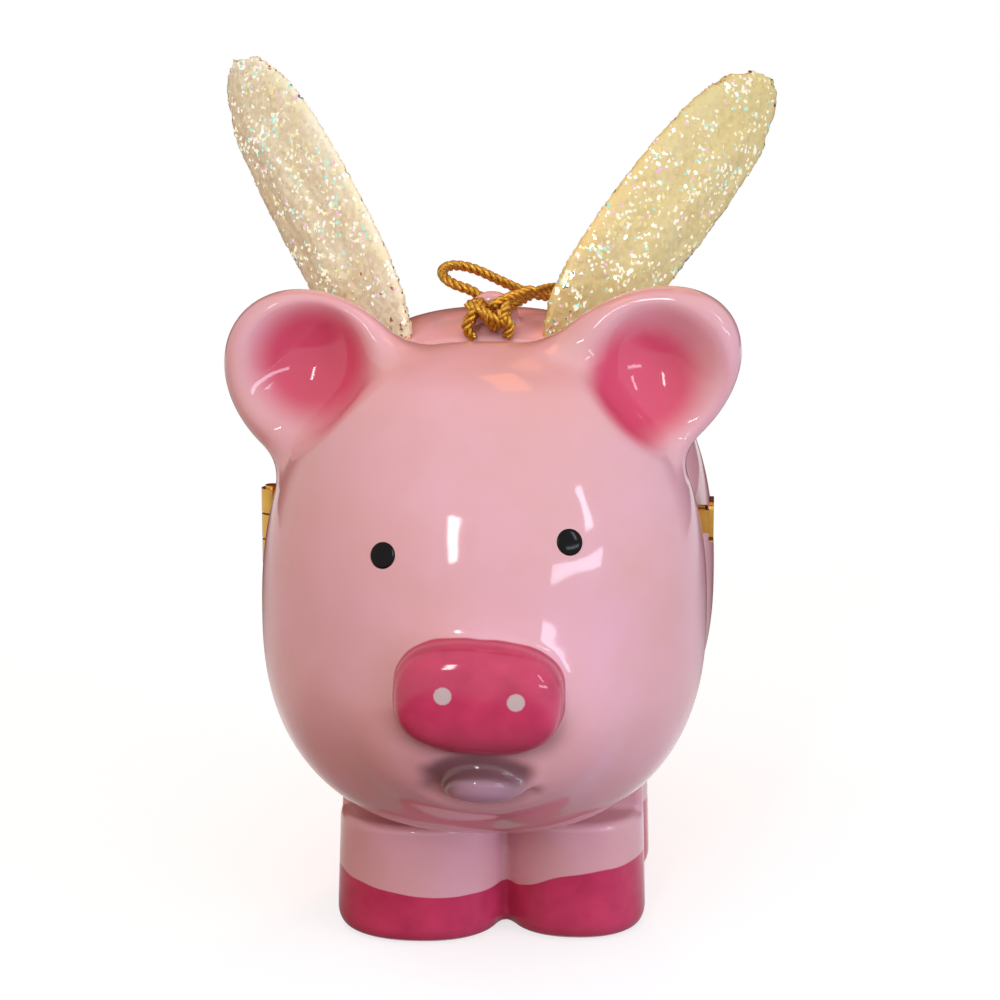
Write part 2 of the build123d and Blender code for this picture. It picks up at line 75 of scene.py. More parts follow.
def add_node(
    material: bpy.types.Material | bpy.types.World,
    kind: str,
    inputs: dict[str | int, object] | None = None,
    **settings: object,
) -> bpy.types.Node:
    """Adds one node with its settings, its values and the links into it.

    Args:
        material: Material or world whose node tree takes the node.
        kind: Blender's name of the node's type.
        inputs: A value or an output socket for each named or numbered input.
        settings: Attributes of the node itself.

    Returns:
        The new node.
    """
    tree = material.node_tree
    node = tree.nodes.new(kind)
    for name, value in settings.items():
        setattr(node, name, value)
    for name, value in (inputs or {}).items():
        if isinstance(value, bpy.types.NodeSocket):
            tree.links.new(value, node.inputs[name])
        else:
            node.inputs[name].default_value = value
    return node


def looked_at(material: bpy.types.Material | bpy.types.World) -> bpy.types.NodeSocket:
    """Socket that is 1 for what the camera sees directly, in a reflection or through glass.

    Args:
        material: Material or world that takes the nodes.

    Returns:
        The socket, which is 0 for light that falls on the object.
    """
    path = add_node(material, "ShaderNodeLightPath").outputs
    mirrored = add_node(
        material, "ShaderNodeMath", {0: path["Is Camera Ray"], 1: path["Is Glossy Ray"]}, operation="MAXIMUM"
    )
    through = add_node(
        material,
        "ShaderNodeMath",
        {0: mirrored.outputs[0], 1: path["Is Transmission Ray"]},
        operation="MAXIMUM",
    )
    return through.outputs[0]


def new_material(name: str) -> bpy.types.Material:
    """Makes an empty node material.

    Args:
        name: What the real material is and how its surface was made.

    Returns:
        The material, with no nodes yet.
    """
    material = bpy.data.materials.new(name)
    material.use_nodes = True
    material.node_tree.nodes.clear()
    return material


def mixed(
    material: bpy.types.Material | bpy.types.World,
    share: bpy.types.NodeSocket,
    one: object,
    other: object,
    blend: str = "MIX",
) -> bpy.types.NodeSocket:
    """Mixes two colours.

    Args:
        material: Material or world that takes the node.
        share: Socket with the share of the second colour.
        one: First colour, or a socket with it.
        other: Second colour, or a socket with it.
        blend: How the second colour is laid over the first.

    Returns:
        The colour socket.
    """
    return add_node(
        material,
        "ShaderNodeMix",
        {"Factor": share, "A": one, "B": other},
        data_type="RGBA",
        blend_type=blend,
    ).outputs[2]


def clouds(
    material: bpy.types.Material,
    place: bpy.types.NodeSocket,
    size_mm: float,
    detail: float = 3.0,
    roughness: float = 0.5,
) -> bpy.types.NodeSocket:
    """Makes soft random clouds.

    Args:
        material: Material that takes the node.
        place: Socket with the place of each point.
        size_mm: Size of the clouds in millimetres.
        detail: How many finer layers lie over them.
        roughness: How strong the finer layers are.

    Returns:
        The socket with a share for each point.
    """
    look = {"Vector": place, "Scale": 1 / (size_mm * MM), "Detail": detail, "Roughness": roughness}
    return add_node(material, "ShaderNodeTexNoise", look).outputs["Fac"]


def keep_surface(material: bpy.types.Material, shader: bpy.types.NodeSocket) -> bpy.types.Material:
    """Links a shader to the material's output.

    Args:
        material: The material to finish.
        shader: Shader socket that becomes its surface.

    Returns:
        The same material.
    """
    add_node(material, "ShaderNodeOutputMaterial", {"Surface": shader})
    return material


def shown_object(name: str, mesh: bpy.types.Mesh) -> bpy.types.Object:
    """Links a mesh to the scene as a smooth-shaded object at the origin.

    Args:
        name: Name of the new object.
        mesh: Its mesh, in metres.

    Returns:
        The new object.
    """
    piece = bpy.data.objects.new(name, mesh)
    bpy.context.scene.collection.objects.link(piece)
    mesh.polygons.foreach_set("use_smooth", [True] * len(mesh.polygons))
    return piece


def finished_mesh(work: bmesh.types.BMesh, name: str) -> bpy.types.Mesh:
    """Turns a mesh that was being edited into a finished one.

    Args:
        work: Mesh that was edited, which is freed.
        name: Name of the new mesh.

    Returns:
        The new mesh.
    """
    mesh = bpy.data.meshes.new(name)
    work.to_mesh(mesh)
    work.free()
    return mesh


def turned(degrees: float, axis: str) -> Matrix:
    """Turn about one of the main axes."""
    return Matrix.Rotation(math.radians(degrees), 3, axis)


def direction_at(azimuth: float, elevation: float) -> Vector:
    """Direction away from the figure.

    Args:
        azimuth: Degrees round from the front, towards the viewer's right.
        elevation: Degrees above level.

    Returns:
        The direction, with length 1.
    """
    turn, tilt = math.radians(azimuth), math.radians(elevation)
    return Vector((math.sin(turn) * math.cos(tilt), -math.cos(turn) * math.cos(tilt), math.sin(tilt)))


def points_of(mesh: bpy.types.Mesh) -> np.ndarray:
    """Reads the places of a mesh's vertices.

    Args:
        mesh: Mesh to read.

    Returns:
        One row of three numbers for each vertex.
    """
    flat = np.zeros(len(mesh.vertices) * 3)
    mesh.vertices.foreach_get("co", flat)
    return flat.reshape(-1, 3)


def place_points(mesh: bpy.types.Mesh, points: np.ndarray) -> None:
    """Writes the places of a mesh's vertices."""
    mesh.vertices.foreach_set("co", points.ravel())
    mesh.update()


def keep_field(mesh: bpy.types.Mesh, name: str, values: np.ndarray) -> None:
    """Stores one number per vertex, which a material then reads by name.

    Args:
        mesh: Mesh that takes the attribute.
        name: Name of the attribute.
        values: One value for each vertex.
    """
    mesh.attributes.new(name, "FLOAT", "POINT").data.foreach_set("value", values)


def worked_mesh(name: str, base: bpy.types.Mesh, stack: Sequence[dict[str, object]]) -> bpy.types.Mesh:
    """Runs a stack of modifiers on a mesh and keeps the result.

    Args:
        name: Name of the new mesh.
        base: Mesh to start from, which is removed.
        stack: One dict of settings for each modifier, with its type under "kind".

    Returns:
        The mesh that the modifiers make.
    """
    holder = bpy.data.objects.new(name, base)
    bpy.context.scene.collection.objects.link(holder)
    for settings in stack:
        modifier = holder.modifiers.new(settings["kind"], settings["kind"])
        for key, value in settings.items():
            if key != "kind":
                setattr(modifier, key, value)
    bpy.context.view_layer.update()
    evaluated = holder.evaluated_get(bpy.context.evaluated_depsgraph_get())
    made = bpy.data.meshes.new_from_object(evaluated)
    made.name = name
    bpy.data.objects.remove(holder)
    bpy.data.meshes.remove(base)
    return made


# Clay: rounded forms that are pressed together


def smooth_min(one: np.ndarray, other: np.ndarray, softness: float) -> np.ndarray:
    """Lesser of two distances, with a fillet where they meet.

    Args:
        one: First distances.
        other: Second distances.
        softness: How wide the fillet is.

    Returns:
        The joined distances.
    """
    if softness <= 0:
        return np.minimum(one, other)
    share = np.clip(0.5 + 0.5 * (other - one) / softness, 0, 1)
    return other * (1 - share) + one * share - softness * share * (1 - share)


def smooth_max(one: np.ndarray, other: np.ndarray, softness: float) -> np.ndarray:
    """Greater of two distances, with a rounding as wide as softness where they meet."""
    return -smooth_min(-one, -other, softness)


@dataclass
class Form:
    """One rounded form, in millimetres, turned about its own centre."""

    centre: Vector
    turn: Matrix = field(default_factory=lambda: Matrix.Identity(3), kw_only=True)

    def local(self, points: np.ndarray) -> np.ndarray:
        """Points in the form's own directions, measured from its centre."""
        return (points - np.array(self.centre)) @ np.array(self.turn)

    def set_down(self, verts: Sequence[bmesh.types.BMVert]) -> None:
        """Puts vertices that were made round the origin in the form's place."""
        for vert in verts:
            vert.co = self.centre + self.turn @ vert.co


@dataclass
class Lobe(Form):
    """Ellipsoid, or a fuller one, whose lower half may be shorter than its upper half."""

    half_width: float
    half_depth: float
    rise: float
    drop: float
    fullness: float = 2.0

    def span(self, local: np.ndarray) -> tuple[np.ndarray, np.ndarray]:
        """How far out points lie, with 1 at the skin, and how steeply that grows.

        Args:
            local: Points in the form's own directions.

        Returns:
            The span of each point, and the length of its slope per millimetre.
        """
        height = np.where(local[:, 2] > 0, self.rise, self.drop)
        across = np.abs(local[:, 0]) / self.half_width
        upward = np.abs(local[:, 2]) / height
        onward = local[:, 1] / self.half_depth
        power = self.fullness
        outline = np.maximum(across ** power + upward ** power, 1e-12)
        span = np.sqrt(outline ** (2 / power) + onward ** 2)
        lift = outline ** (2 / power - 1)
        slope = np.stack([
            lift * across ** (power - 1) / self.half_width,
            onward / self.half_depth,
            lift * upward ** (power - 1) / height,
        ])
        return span, np.linalg.norm(slope, axis=0) / np.maximum(span, 1e-6)

    def distance(self, points: np.ndarray) -> np.ndarray:
        """Roughly how far points lie outside the skin."""
        span, slope = self.span(self.local(points))
        return (span - 1) / np.maximum(slope, 1e-6)

    def shape(self, work: bmesh.types.BMesh) -> None:
        """Adds the form's skin to a mesh.

        Args:
            work: Mesh that takes it.
        """
        verts = bmesh.ops.create_icosphere(work, subdivisions=5, radius=1)["verts"]
        rays = np.array([vert.co for vert in verts])
        reach = 1 / self.span(rays)[0]
        for vert, length in zip(verts, reach):
            vert.co *= length
        self.set_down(verts)


@dataclass
class Pad(Form):
    """Plate or post with an oval outline across its own Z, a rounded edge and a domed face."""

    half_width: float
    half_height: float
    half_depth: float
    edge: float
    fullness: float = 2.0
    crown: float = 0.0
    waist: float = 1.0
    crown_reach: float = 1.3

    def narrowing(self, along: np.ndarray) -> np.ndarray:
        """Share of the outline that is left at a place along the post."""
        share = np.clip((along / self.half_depth + 1) / 2, 0, 1)
        return 1 + (self.waist - 1) * share

    def span(self, local: np.ndarray) -> tuple[np.ndarray, np.ndarray]:
        """How far out points lie across the post, with 1 at its side.

        Args:
            local: Points in the form's own directions.

        Returns:
            The span of each point, and the length of its slope per millimetre.
        """
        share = self.narrowing(local[:, 2])
        across = np.abs(local[:, 0]) / (self.half_width * share)
        upward = np.abs(local[:, 1]) / (self.half_height * share)
        power = self.fullness
        outline = np.maximum(across ** power + upward ** power, 1e-12)
        span = outline ** (1 / power)
        slope = np.hypot(
            across ** (power - 1) / (self.half_width * share),
            upward ** (power - 1) / (self.half_height * share),
        )
        return span, slope * outline ** (1 / power - 1)

    def side(self, points: np.ndarray) -> np.ndarray:
        """Roughly how far points lie outside the outline, at any depth."""
        span, slope = self.span(self.local(points))
        return (span - 1) / np.maximum(slope, 1e-6)

    def distance(self, points: np.ndarray) -> np.ndarray:
        """Roughly how far points lie outside the skin.

        Args:
            points: Points to measure.

        Returns:
            One distance for each, negative inside.
        """
        local = self.local(points)
        span, slope = self.span(local)
        side = (span - 1) / np.maximum(slope, 1e-6)
        dome = self.crown * np.minimum(span, self.crown_reach) ** 2
        face = np.abs(local[:, 2]) - self.half_depth + dome
        return smooth_max(side, face, self.edge)

    def shape(self, work: bmesh.types.BMesh) -> None:
        """Adds the form's skin to a mesh.

        Args:
            work: Mesh that takes it.
        """
        post = bmesh.ops.create_cone(
            work, cap_ends=True, cap_tris=False, segments=64, radius1=1, radius2=1, depth=2
        )["verts"]
        for vert in post:
            vert.co.z *= self.half_depth
        rays = np.array([vert.co for vert in post])
        reach = 1 / self.span(rays)[0]
        for vert, length in zip(post, reach):
            vert.co.x *= length
            vert.co.y *= length
        self.set_down(post)


@dataclass
class Roll(Form):
    """Roll of clay along a line of points, thick at its start and thinner at its end."""

    line: Sequence[Vector]
    start_radius: float
    end_radius: float

    def stations(self) -> list[tuple[Vector, float]]:
        """Places along the roll.

        Returns:
            Each place with the radius there.
        """
        last = len(self.line) - 1
        spread = self.end_radius - self.start_radius
        return [(place, self.start_radius + spread * step / last) for step, place in enumerate(self.line)]

    def distance(self, points: np.ndarray) -> np.ndarray:
        """How far points lie outside the skin.

        Args:
            points: Points to measure.

        Returns:
            One distance for each, negative inside.
        """
        local = self.local(points)
        best = np.full(len(points), np.inf)
        stations = self.stations()
        for (start, thick), (end, thin) in zip(stations, stations[1:]):
            run = np.array(end - start)
            share = np.clip((local - np.array(start)) @ run / (run @ run), 0, 1)
            gap = np.linalg.norm(local - np.array(start) - share[:, None] * run, axis=1)
            best = np.minimum(best, gap - thick - (thin - thick) * share)
        return best

    def shape(self, work: bmesh.types.BMesh) -> None:
        """Adds the form's skin to a mesh, as a string of beads close together.

        Args:
            work: Mesh that takes it.
        """
        for place, radius in self.stations():
            bead = bmesh.ops.create_icosphere(work, subdivisions=2, radius=radius)["verts"]
            bmesh.ops.translate(work, verts=bead, vec=place)
            self.set_down(bead)


@dataclass
class Block(Form):
    """Square block, used to cut away what lies inside it."""

    half_sizes: Vector

    def distance(self, points: np.ndarray) -> np.ndarray:
        """How far points lie outside the block's nearest face."""
        return (np.abs(self.local(points)) - np.array(self.half_sizes)).max(axis=1)

    def shape(self, work: bmesh.types.BMesh) -> None:
        """Adds the block to a mesh.

        Args:
            work: Mesh that takes it.
        """
        verts = bmesh.ops.create_cube(work, size=2)["verts"]
        bmesh.ops.scale(work, verts=verts, vec=self.half_sizes)
        self.set_down(verts)


def cutter(form: Form, material_index: int = 0) -> bpy.types.Object:
    """Makes a helper object that a boolean then cuts away.

    Args:
        form: Its shape.
        material_index: Material index of the faces that the cut leaves.

    Returns:
        The helper, which is removed after the cut.
    """
    work = bmesh.new()
    form.shape(work)
    bmesh.ops.recalc_face_normals(work, faces=work.faces)
    for face in work.faces:
        face.material_index = material_index
    helper = bpy.data.objects.new("cutter", finished_mesh(work, "cutter"))
    bpy.context.scene.collection.objects.link(helper)
    return helper


def cutting_away(helper: bpy.types.Object) -> dict[str, object]:
    """Settings of the modifier that cuts a helper away."""
    return {"kind": "BOOLEAN", "operation": "DIFFERENCE", "solver": "EXACT", "object": helper}


class Press(Enum):
    """What a form does to the clay."""

    ADD = "add"
    CUT = "cut"


@dataclass
class Clay:
    """A model made of forms, in the order in which they are pressed on or cut away."""

    steps: list[tuple[Press, Form, float]]

    def distance(self, points: np.ndarray) -> np.ndarray:
        """Roughly how far points lie outside the finished skin.

        Args:
            points: Points to measure.

        Returns:
            One distance for each, negative inside.
        """
        total = np.full(len(points), np.inf)
        for press, form, softness in self.steps:
            gap = form.distance(points)
            if press is Press.CUT:
                total = smooth_max(total, -gap, softness)
            elif np.isinf(total[0]):
                total = gap
            else:
                total = smooth_min(total, gap, softness)
        return total

    def settle(self, points: np.ndarray, furthest: float) -> np.ndarray:
        """Moves points onto the skin, along its slope.

        Args:
            points: Points to move.
            furthest: Longest move.

        Returns:
            The moved points.
        """
        probe, least_slope = 0.01, 0.3
        gap = self.distance(points)
        slope = np.stack([
            (self.distance(points + probe * direction) - gap) / probe for direction in np.eye(3)
        ], axis=1)
        length = np.maximum(np.linalg.norm(slope, axis=1), least_slope)
        move = np.clip(gap / length, -furthest, furthest)
        return points - slope / length[:, None] * move[:, None]

    def mesh(self, name: str, grain: float, rounds: int = 10) -> bpy.types.Mesh:
        """Makes the finished skin as one mesh of even faces.

        Args:
            name: Name of the mesh.
            grain: Size of its faces.
            rounds: How often the vertices settle on the skin.

        Returns:
            The mesh, in millimetres.
        """
        unsmoothed_rounds = 3
        made = self.rough_mesh(name, grain)
        for turn in range(rounds):
            place_points(made, self.settle(points_of(made), grain))
            if turn < rounds - unsmoothed_rounds:
                work = bmesh.new()
                work.from_mesh(made)
                bmesh.ops.smooth_vert(
                    work, verts=work.verts, factor=0.5, use_axis_x=True, use_axis_y=True, use_axis_z=True
                )
                work.to_mesh(made)
                work.free()
        return made

    def rough_mesh(self, name: str, grain: float) -> bpy.types.Mesh:
        """Joins the forms, cuts the blocks away and gives the skin even faces.

        Args:
            name: Name of the mesh.
            grain: Size of its faces.

        Returns:
            The mesh, before its vertices settle on the skin.
        """
        solid = bmesh.new()
        blocks = []
        for press, form, _ in self.steps:
            if press is Press.ADD:
                form.shape(solid)
            elif isinstance(form, Block):
                blocks.append(form)
        rough = finished_mesh(solid, name)
        coarseness = 1.6
        stack = [{"kind": "REMESH", "mode": "VOXEL", "voxel_size": coarseness * grain}]
        helpers = [cutter(form) for form in blocks]
        stack.extend(cutting_away(helper) for helper in helpers)
        stack.append({"kind": "REMESH", "mode": "VOXEL", "voxel_size": grain})
        made = worked_mesh(name, rough, stack)
        for helper in helpers:
            bpy.data.meshes.remove(helper.data)
        return made


def hollowed(name: str, skin: bpy.types.Mesh, hollows: Sequence[Form], inside: int) -> bpy.types.Mesh:
    """Cuts hollows out of a skin, so that it becomes a wall.

    Args:
        name: Name of the new mesh.
        skin: Closed mesh in millimetres, which is removed.
        hollows: Forms to cut out, one after the other.
        inside: Material index of the faces that the hollows leave.

    Returns:
        The walled mesh.
    """
    helpers = [cutter(form, inside) for form in hollows]
    made = worked_mesh(name, skin, [cutting_away(helper) for helper in helpers])
    for helper in helpers:
        bpy.data.meshes.remove(helper.data)
    return made


# Finishes


@dataclass(frozen=True)
class PinkGlaze:
    """Pink glaze over porcelain, sprayed darker in the ears, with snout and hooves painted, and brown painted
    shade round the mouth and under the snout.
    """

    base: str = "#E6ACB2"
    warm: str = "#DFA6A0"
    ear: str = "#D4506A"
    paint: str = "#D24062"
    deep_paint: str = "#BC3454"
    nostril: str = "#CDB5AE"
    lip: str = "#A88496"
    # brown of the painted shade in mouth and fold and under the snout
    painted_shade: str = "#744A4A"
    cloud_mm: float = 9.0
    brush_mm: float = 3.5
    ripple_mm: float = 5.0

    def build(self) -> bpy.types.Material:
        """Makes the glaze: one glossy layer whose slow ripple breaks up the highlights.

        Returns:
            The material, which reads its paint from the mesh's own fields.
        """
        made = new_material("porcelain_pink_glazed")
        place = add_node(made, "ShaderNodeTexCoord").outputs["Object"]
        ground = self.clouded(made, place, self.cloud_mm, self.base, self.warm)
        paint = self.clouded(made, place, self.brush_mm, self.paint, self.deep_paint)
        layers = [
            ("lip", linear(self.lip), 0.0, 1.0),
            ("blush", linear(self.ear), 0.0, 1.0),
            ("painted", paint, -0.07, 0.07),
            # painted shade: brown laid into mouth and fold and under the snout, over the snout's paint too
            ("painted_shade", linear(self.painted_shade), 0.0, 1.0),
            ("nostrils", linear(self.nostril), -0.09, 0.09),
        ]
        for name, colour, low, high in layers:
            value = add_node(made, "ShaderNodeAttribute", attribute_name=name).outputs["Fac"]
            cover = add_node(
                made,
                "ShaderNodeMapRange",
                {"Value": value, "From Min": low, "From Max": high},
                interpolation_type="SMOOTHSTEP",
            ).outputs["Result"]
            ground = mixed(made, cover, ground, colour)
        ripple = clouds(made, place, self.ripple_mm, 1.0)
        bump = add_node(
            made, "ShaderNodeBump", {"Height": ripple, "Strength": 0.3, "Distance": 0.3 * MM}
        )
        shader = add_node(
            made,
            "ShaderNodeBsdfPrincipled",
            {"Base Color": ground, "Roughness": 0.07, "IOR": 1.45, "Normal": bump.outputs["Normal"]},
        )
        return keep_surface(made, shader.outputs["BSDF"])

    def clouded(
        self, made: bpy.types.Material, place: bpy.types.NodeSocket, size: float, one: str, other: str
    ) -> bpy.types.NodeSocket:
        """Mixes two colours in soft clouds.

        Args:
            made: Material that takes the nodes.
            place: Socket with the place of each point.
            size: Size of the clouds in millimetres.
            one: First colour.
            other: Second colour.

        Returns:
            The colour socket.
        """
        cloud = clouds(made, place, size)
        share = add_node(
            made, "ShaderNodeMapRange", {"Value": cloud, "From Min": 0.3, "From Max": 0.7}
        ).outputs["Result"]
        return mixed(made, share, linear(one), linear(other))


@dataclass(frozen=True)
class BlackEnamel:
    """Drop of black enamel, as used for the eyes."""

    base: str = "#0A0605"

    def build(self) -> bpy.types.Material:
        """Makes the enamel: nearly black, under a thin gloss.

        Returns:
            The material.
        """
        made = new_material("enamel_black_gloss")
        shader = add_node(
            made,
            "ShaderNodeBsdfPrincipled",
            {"Base Color": linear(self.base), "Roughness": 0.12, "IOR": 1.25},
        )
        return keep_surface(made, shader.outputs["BSDF"])


@dataclass(frozen=True)
class WhiteGlaze:
    """Clear glaze on the white porcelain inside the box."""

    base: str = "#F1EBE6"
    shaded: str = "#E6DCD4"
    cloud_mm: float = 5.0

    def build(self) -> bpy.types.Material:
        """Makes the glaze: the plain body colour under a glossy coat.

        Returns:
            The material.
        """
        made = new_material("porcelain_white_clear_glazed")
        place = add_node(made, "ShaderNodeTexCoord").outputs["Object"]
        cloud = clouds(made, place, self.cloud_mm, 2.0)
        ground = mixed(made, cloud, linear(self.base), linear(self.shaded))
        shader = add_node(
            made, "ShaderNodeBsdfPrincipled", {"Base Color": ground, "Roughness": 0.25, "IOR": 1.52}
        )
        return keep_surface(made, shader.outputs["BSDF"])


@dataclass(frozen=True)
class Glitter:
    """Cream paint that was dusted with coarse iridescent glitter while wet."""

    base: str = "#F8F3DA"
    deep: str = "#EEDCA4"
    # painted shade: a darker, yellower multiplier over the viewer's right wing
    right_painted_shade: str = "#EEE2B8"
    tint_blend_mm: float = 5.0
    cloud_mm: float = 4.0
    flake_mm: float = 0.34
    flake_tilt: float = 0.35
    drift_mm: float = 3.2
    flake_shades: tuple[tuple[float, str], ...] = (
        (0.0, "#FFF6DC"),
        (0.55, "#F3E3A0"),
        (0.7, "#B8F2DF"),
        (0.82, "#F7C6D8"),
        (0.9, "#FFFFFF"),
    )

    def build(self) -> bpy.types.Material:
        """Makes the glitter: a tilted facet for each flake, and a few that flash.

        Returns:
            The material.
        """
        made = new_material("glitter_on_cream_paint")
        place = add_node(made, "ShaderNodeTexCoord").outputs["Object"]
        flakes = add_node(
            made, "ShaderNodeTexVoronoi", {"Vector": place, "Scale": 1 / (self.flake_mm * MM)}
        )
        facet = self.facet(made, flakes.outputs["Color"])
        dice = add_node(made, "ShaderNodeSeparateColor", {"Color": flakes.outputs["Color"]})
        paint = add_node(
            made,
            "ShaderNodeBsdfPrincipled",
            {"Base Color": self.paint(made, place), "Roughness": 0.5, "IOR": 1.45, "Normal": facet},
        )
        flake = add_node(
            made,
            "ShaderNodeBsdfPrincipled",
            {
                "Base Color": self.flake_tint(made, dice.outputs["Green"]),
                "Metallic": 1.0,
                "Roughness": 0.18,
                "Normal": facet,
            },
        )
        chosen = add_node(
            made,
            "ShaderNodeMath",
            {0: dice.outputs["Red"], 1: self.rarity(made, place)},
            operation="GREATER_THAN",
        )
        both = add_node(
            made,
            "ShaderNodeMixShader",
            {0: chosen.outputs[0], 1: paint.outputs["BSDF"], 2: flake.outputs["BSDF"]},
        )
        return keep_surface(made, both.outputs[0])

    def facet(self, made: bpy.types.Material, dice: bpy.types.NodeSocket) -> bpy.types.NodeSocket:
        """Leans the surface another way for each flake.

        Args:
            made: Material that takes the nodes.
            dice: Socket with three chance numbers for each flake.

        Returns:
            The socket with the leaning normal.
        """
        tilt = add_node(
            made, "ShaderNodeVectorMath", {0: dice, 1: (0.5, 0.5, 0.5)}, operation="SUBTRACT"
        )
        normal = add_node(made, "ShaderNodeNewGeometry").outputs["Normal"]
        leaning = add_node(
            made,
            "ShaderNodeVectorMath",
            {0: tilt.outputs[0], 1: (self.flake_tilt,) * 3, 2: normal},
            operation="MULTIPLY_ADD",
        )
        return add_node(
            made, "ShaderNodeVectorMath", {0: leaning.outputs[0]}, operation="NORMALIZE"
        ).outputs[0]

    def paint(self, made: bpy.types.Material, place: bpy.types.NodeSocket) -> bpy.types.NodeSocket:
        """Cream paint in soft clouds, with painted shade that makes it darker and yellower on the viewer's
        right.

        Args:
            made: Material that takes the nodes.
            place: Socket with the place of each point.

        Returns:
            The colour socket.
        """
        cloud = clouds(made, place, self.cloud_mm)
        ground = mixed(made, cloud, linear(self.base), linear(self.deep))
        across = add_node(made, "ShaderNodeSeparateXYZ", {"Vector": place}).outputs["X"]
        blend = self.tint_blend_mm * MM
        right = add_node(
            made, "ShaderNodeMapRange", {"Value": across, "From Min": -blend, "From Max": blend}
        ).outputs["Result"]
        # painted shade: the viewer's right wing is multiplied darker and yellower
        return mixed(made, right, ground, linear(self.right_painted_shade), "MULTIPLY")

    def flake_tint(self, made: bpy.types.Material, dice: bpy.types.NodeSocket) -> bpy.types.NodeSocket:
        """Picks one of a few pearly colours for each flake.

        Args:
            made: Material that takes the nodes.
            dice: Socket with one chance number for each flake.

        Returns:
            The colour socket.
        """
        tint = add_node(made, "ShaderNodeValToRGB", {"Fac": dice})
        ramp = tint.color_ramp
        ramp.interpolation = "CONSTANT"
        ramp.elements.remove(ramp.elements[1])
        ramp.elements[0].color = linear(self.flake_shades[0][1])
        for position, colour in self.flake_shades[1:]:
            ramp.elements.new(position).color = linear(colour)
        return tint.outputs["Color"]

    def rarity(self, made: bpy.types.Material, place: bpy.types.NodeSocket) -> bpy.types.NodeSocket:
        """How high a flake's chance number has to be, so that flashes lie in drifts.

        Args:
            made: Material that takes the nodes.
            place: Socket with the place of each point.

        Returns:
            The socket with the limit.
        """
        return add_node(
            made,
            "ShaderNodeMapRange",
            {
                "Value": clouds(made, place, self.drift_mm, 2.0),
                "From Min": 0.38,
                "From Max": 0.62,
                "To Min": 0.98,
                "To Max": 0.74,
            },
        ).outputs["Result"]


@dataclass(frozen=True)
class PolishedBrass:
    """Brass that was polished and lightly lacquered, a little darker in fine clouds."""

    base: str = "#E2B25C"
    worn: str = "#B98A3E"
    tarnish_mm: float = 1.2

    def build(self) -> bpy.types.Material:
        """Makes the brass: a warm metal with a fine cloudy tarnish.

        Returns:
            The material.
        """
        made = new_material("brass_polished")
        place = add_node(made, "ShaderNodeTexCoord").outputs["Object"]
        cloud = clouds(made, place, self.tarnish_mm)
        ground = mixed(made, cloud, linear(self.base), linear(self.worn))
        shader = add_node(
            made,
            "ShaderNodeBsdfPrincipled",
            {"Base Color": ground, "Metallic": 1.0, "Roughness": 0.22},
        )
        return keep_surface(made, shader.outputs["BSDF"])


@dataclass(frozen=True)
class GoldYarn:
    """Metallic gold yarn: a flat foil that is wound round a core, so it glints in short bands, with painted
    shade between them.
    """

    bright: str = "#FFC850"
    foil_painted_shade: str = "#6A3E10"
    band_mm: float = 0.28

    def build(self) -> bpy.types.Material:
        """Makes the yarn: fine bands of bright gold and painted shade, which also drive a bump.

        Returns:
            The material.
        """
        made = new_material("yarn_metallic_gold")
        place = add_node(made, "ShaderNodeTexCoord").outputs["Object"]
        bands = clouds(made, place, self.band_mm, 2.0, 0.7)
        # painted shade: the dark bands stand in for shade between the foil's turns
        ground = mixed(made, bands, linear(self.bright), linear(self.foil_painted_shade))
        bump = add_node(
            made, "ShaderNodeBump", {"Height": bands, "Strength": 0.6, "Distance": 0.08 * MM}
        )
        shader = add_node(
            made,
            "ShaderNodeBsdfPrincipled",
            {
                "Base Color": ground,
                "Metallic": 0.9,
                "Roughness": 0.33,
                "Normal": bump.outputs["Normal"],
            },
        )
        return keep_surface(made, shader.outputs["BSDF"])


# Sub-assemblies


@dataclass
class Outline:
    """Sizes that head and body share, measured from the seam between the two bezels."""

    seam: float
    half_width: float = 22.5
    rise: float = 27.3
    drop: float = 22.8
    centre_height: float = 36.2
    set_forward: float = 6.6
    head_reach: float = 21.0
    set_back: float = 9.5
    body_reach: float = 24.5
    fullness: float = 2.4
    wall: float = 2.5
    rim_land: float = 3.0
    rim_setback: float = 0.85
    collar_depth: float = 2.0
    rim_round: float = 0.9
    overrun: float = 1.0

    def rim_share(self) -> float:
        """Share of the head's widest section that is left at the seam."""
        return math.sqrt(1 - (self.set_forward / self.head_reach) ** 2)

    def body_swell(self) -> float:
        """How much wider the body is than the head, so that both share one rim."""
        return self.rim_share() / math.sqrt(1 - (self.set_back / self.body_reach) ** 2)

    def lobe(self, swell: float, inset: float, widest: float, reach: float) -> Lobe:
        """Main form of the head or body, or of the hollow in it.

        Args:
            swell: How much wider it is than the head.
            inset: How far it lies inside the skin.
            widest: Place of its widest section along Y.
            reach: How far it reaches from there.

        Returns:
            The form.
        """
        return Lobe(
            Vector((0, widest, self.centre_height)),
            self.half_width * swell - inset,
            reach - inset,
            self.rise * swell - inset,
            self.drop * swell - inset,
            self.fullness,
        )

    def surface_height(self, across: float, behind: float) -> float:
        """Height of the body's skin above a place that lies behind the seam.

        Args:
            across: Place across the figure.
            behind: Place behind the seam.

        Returns:
            The height above the floor.
        """
        share = math.sqrt(1 - ((behind - self.set_back) / self.body_reach) ** 2) * self.body_swell()
        upward = (1 - (across / (self.half_width * share)) ** self.fullness) ** (1 / self.fullness)
        return self.centre_height + self.rise * share * upward


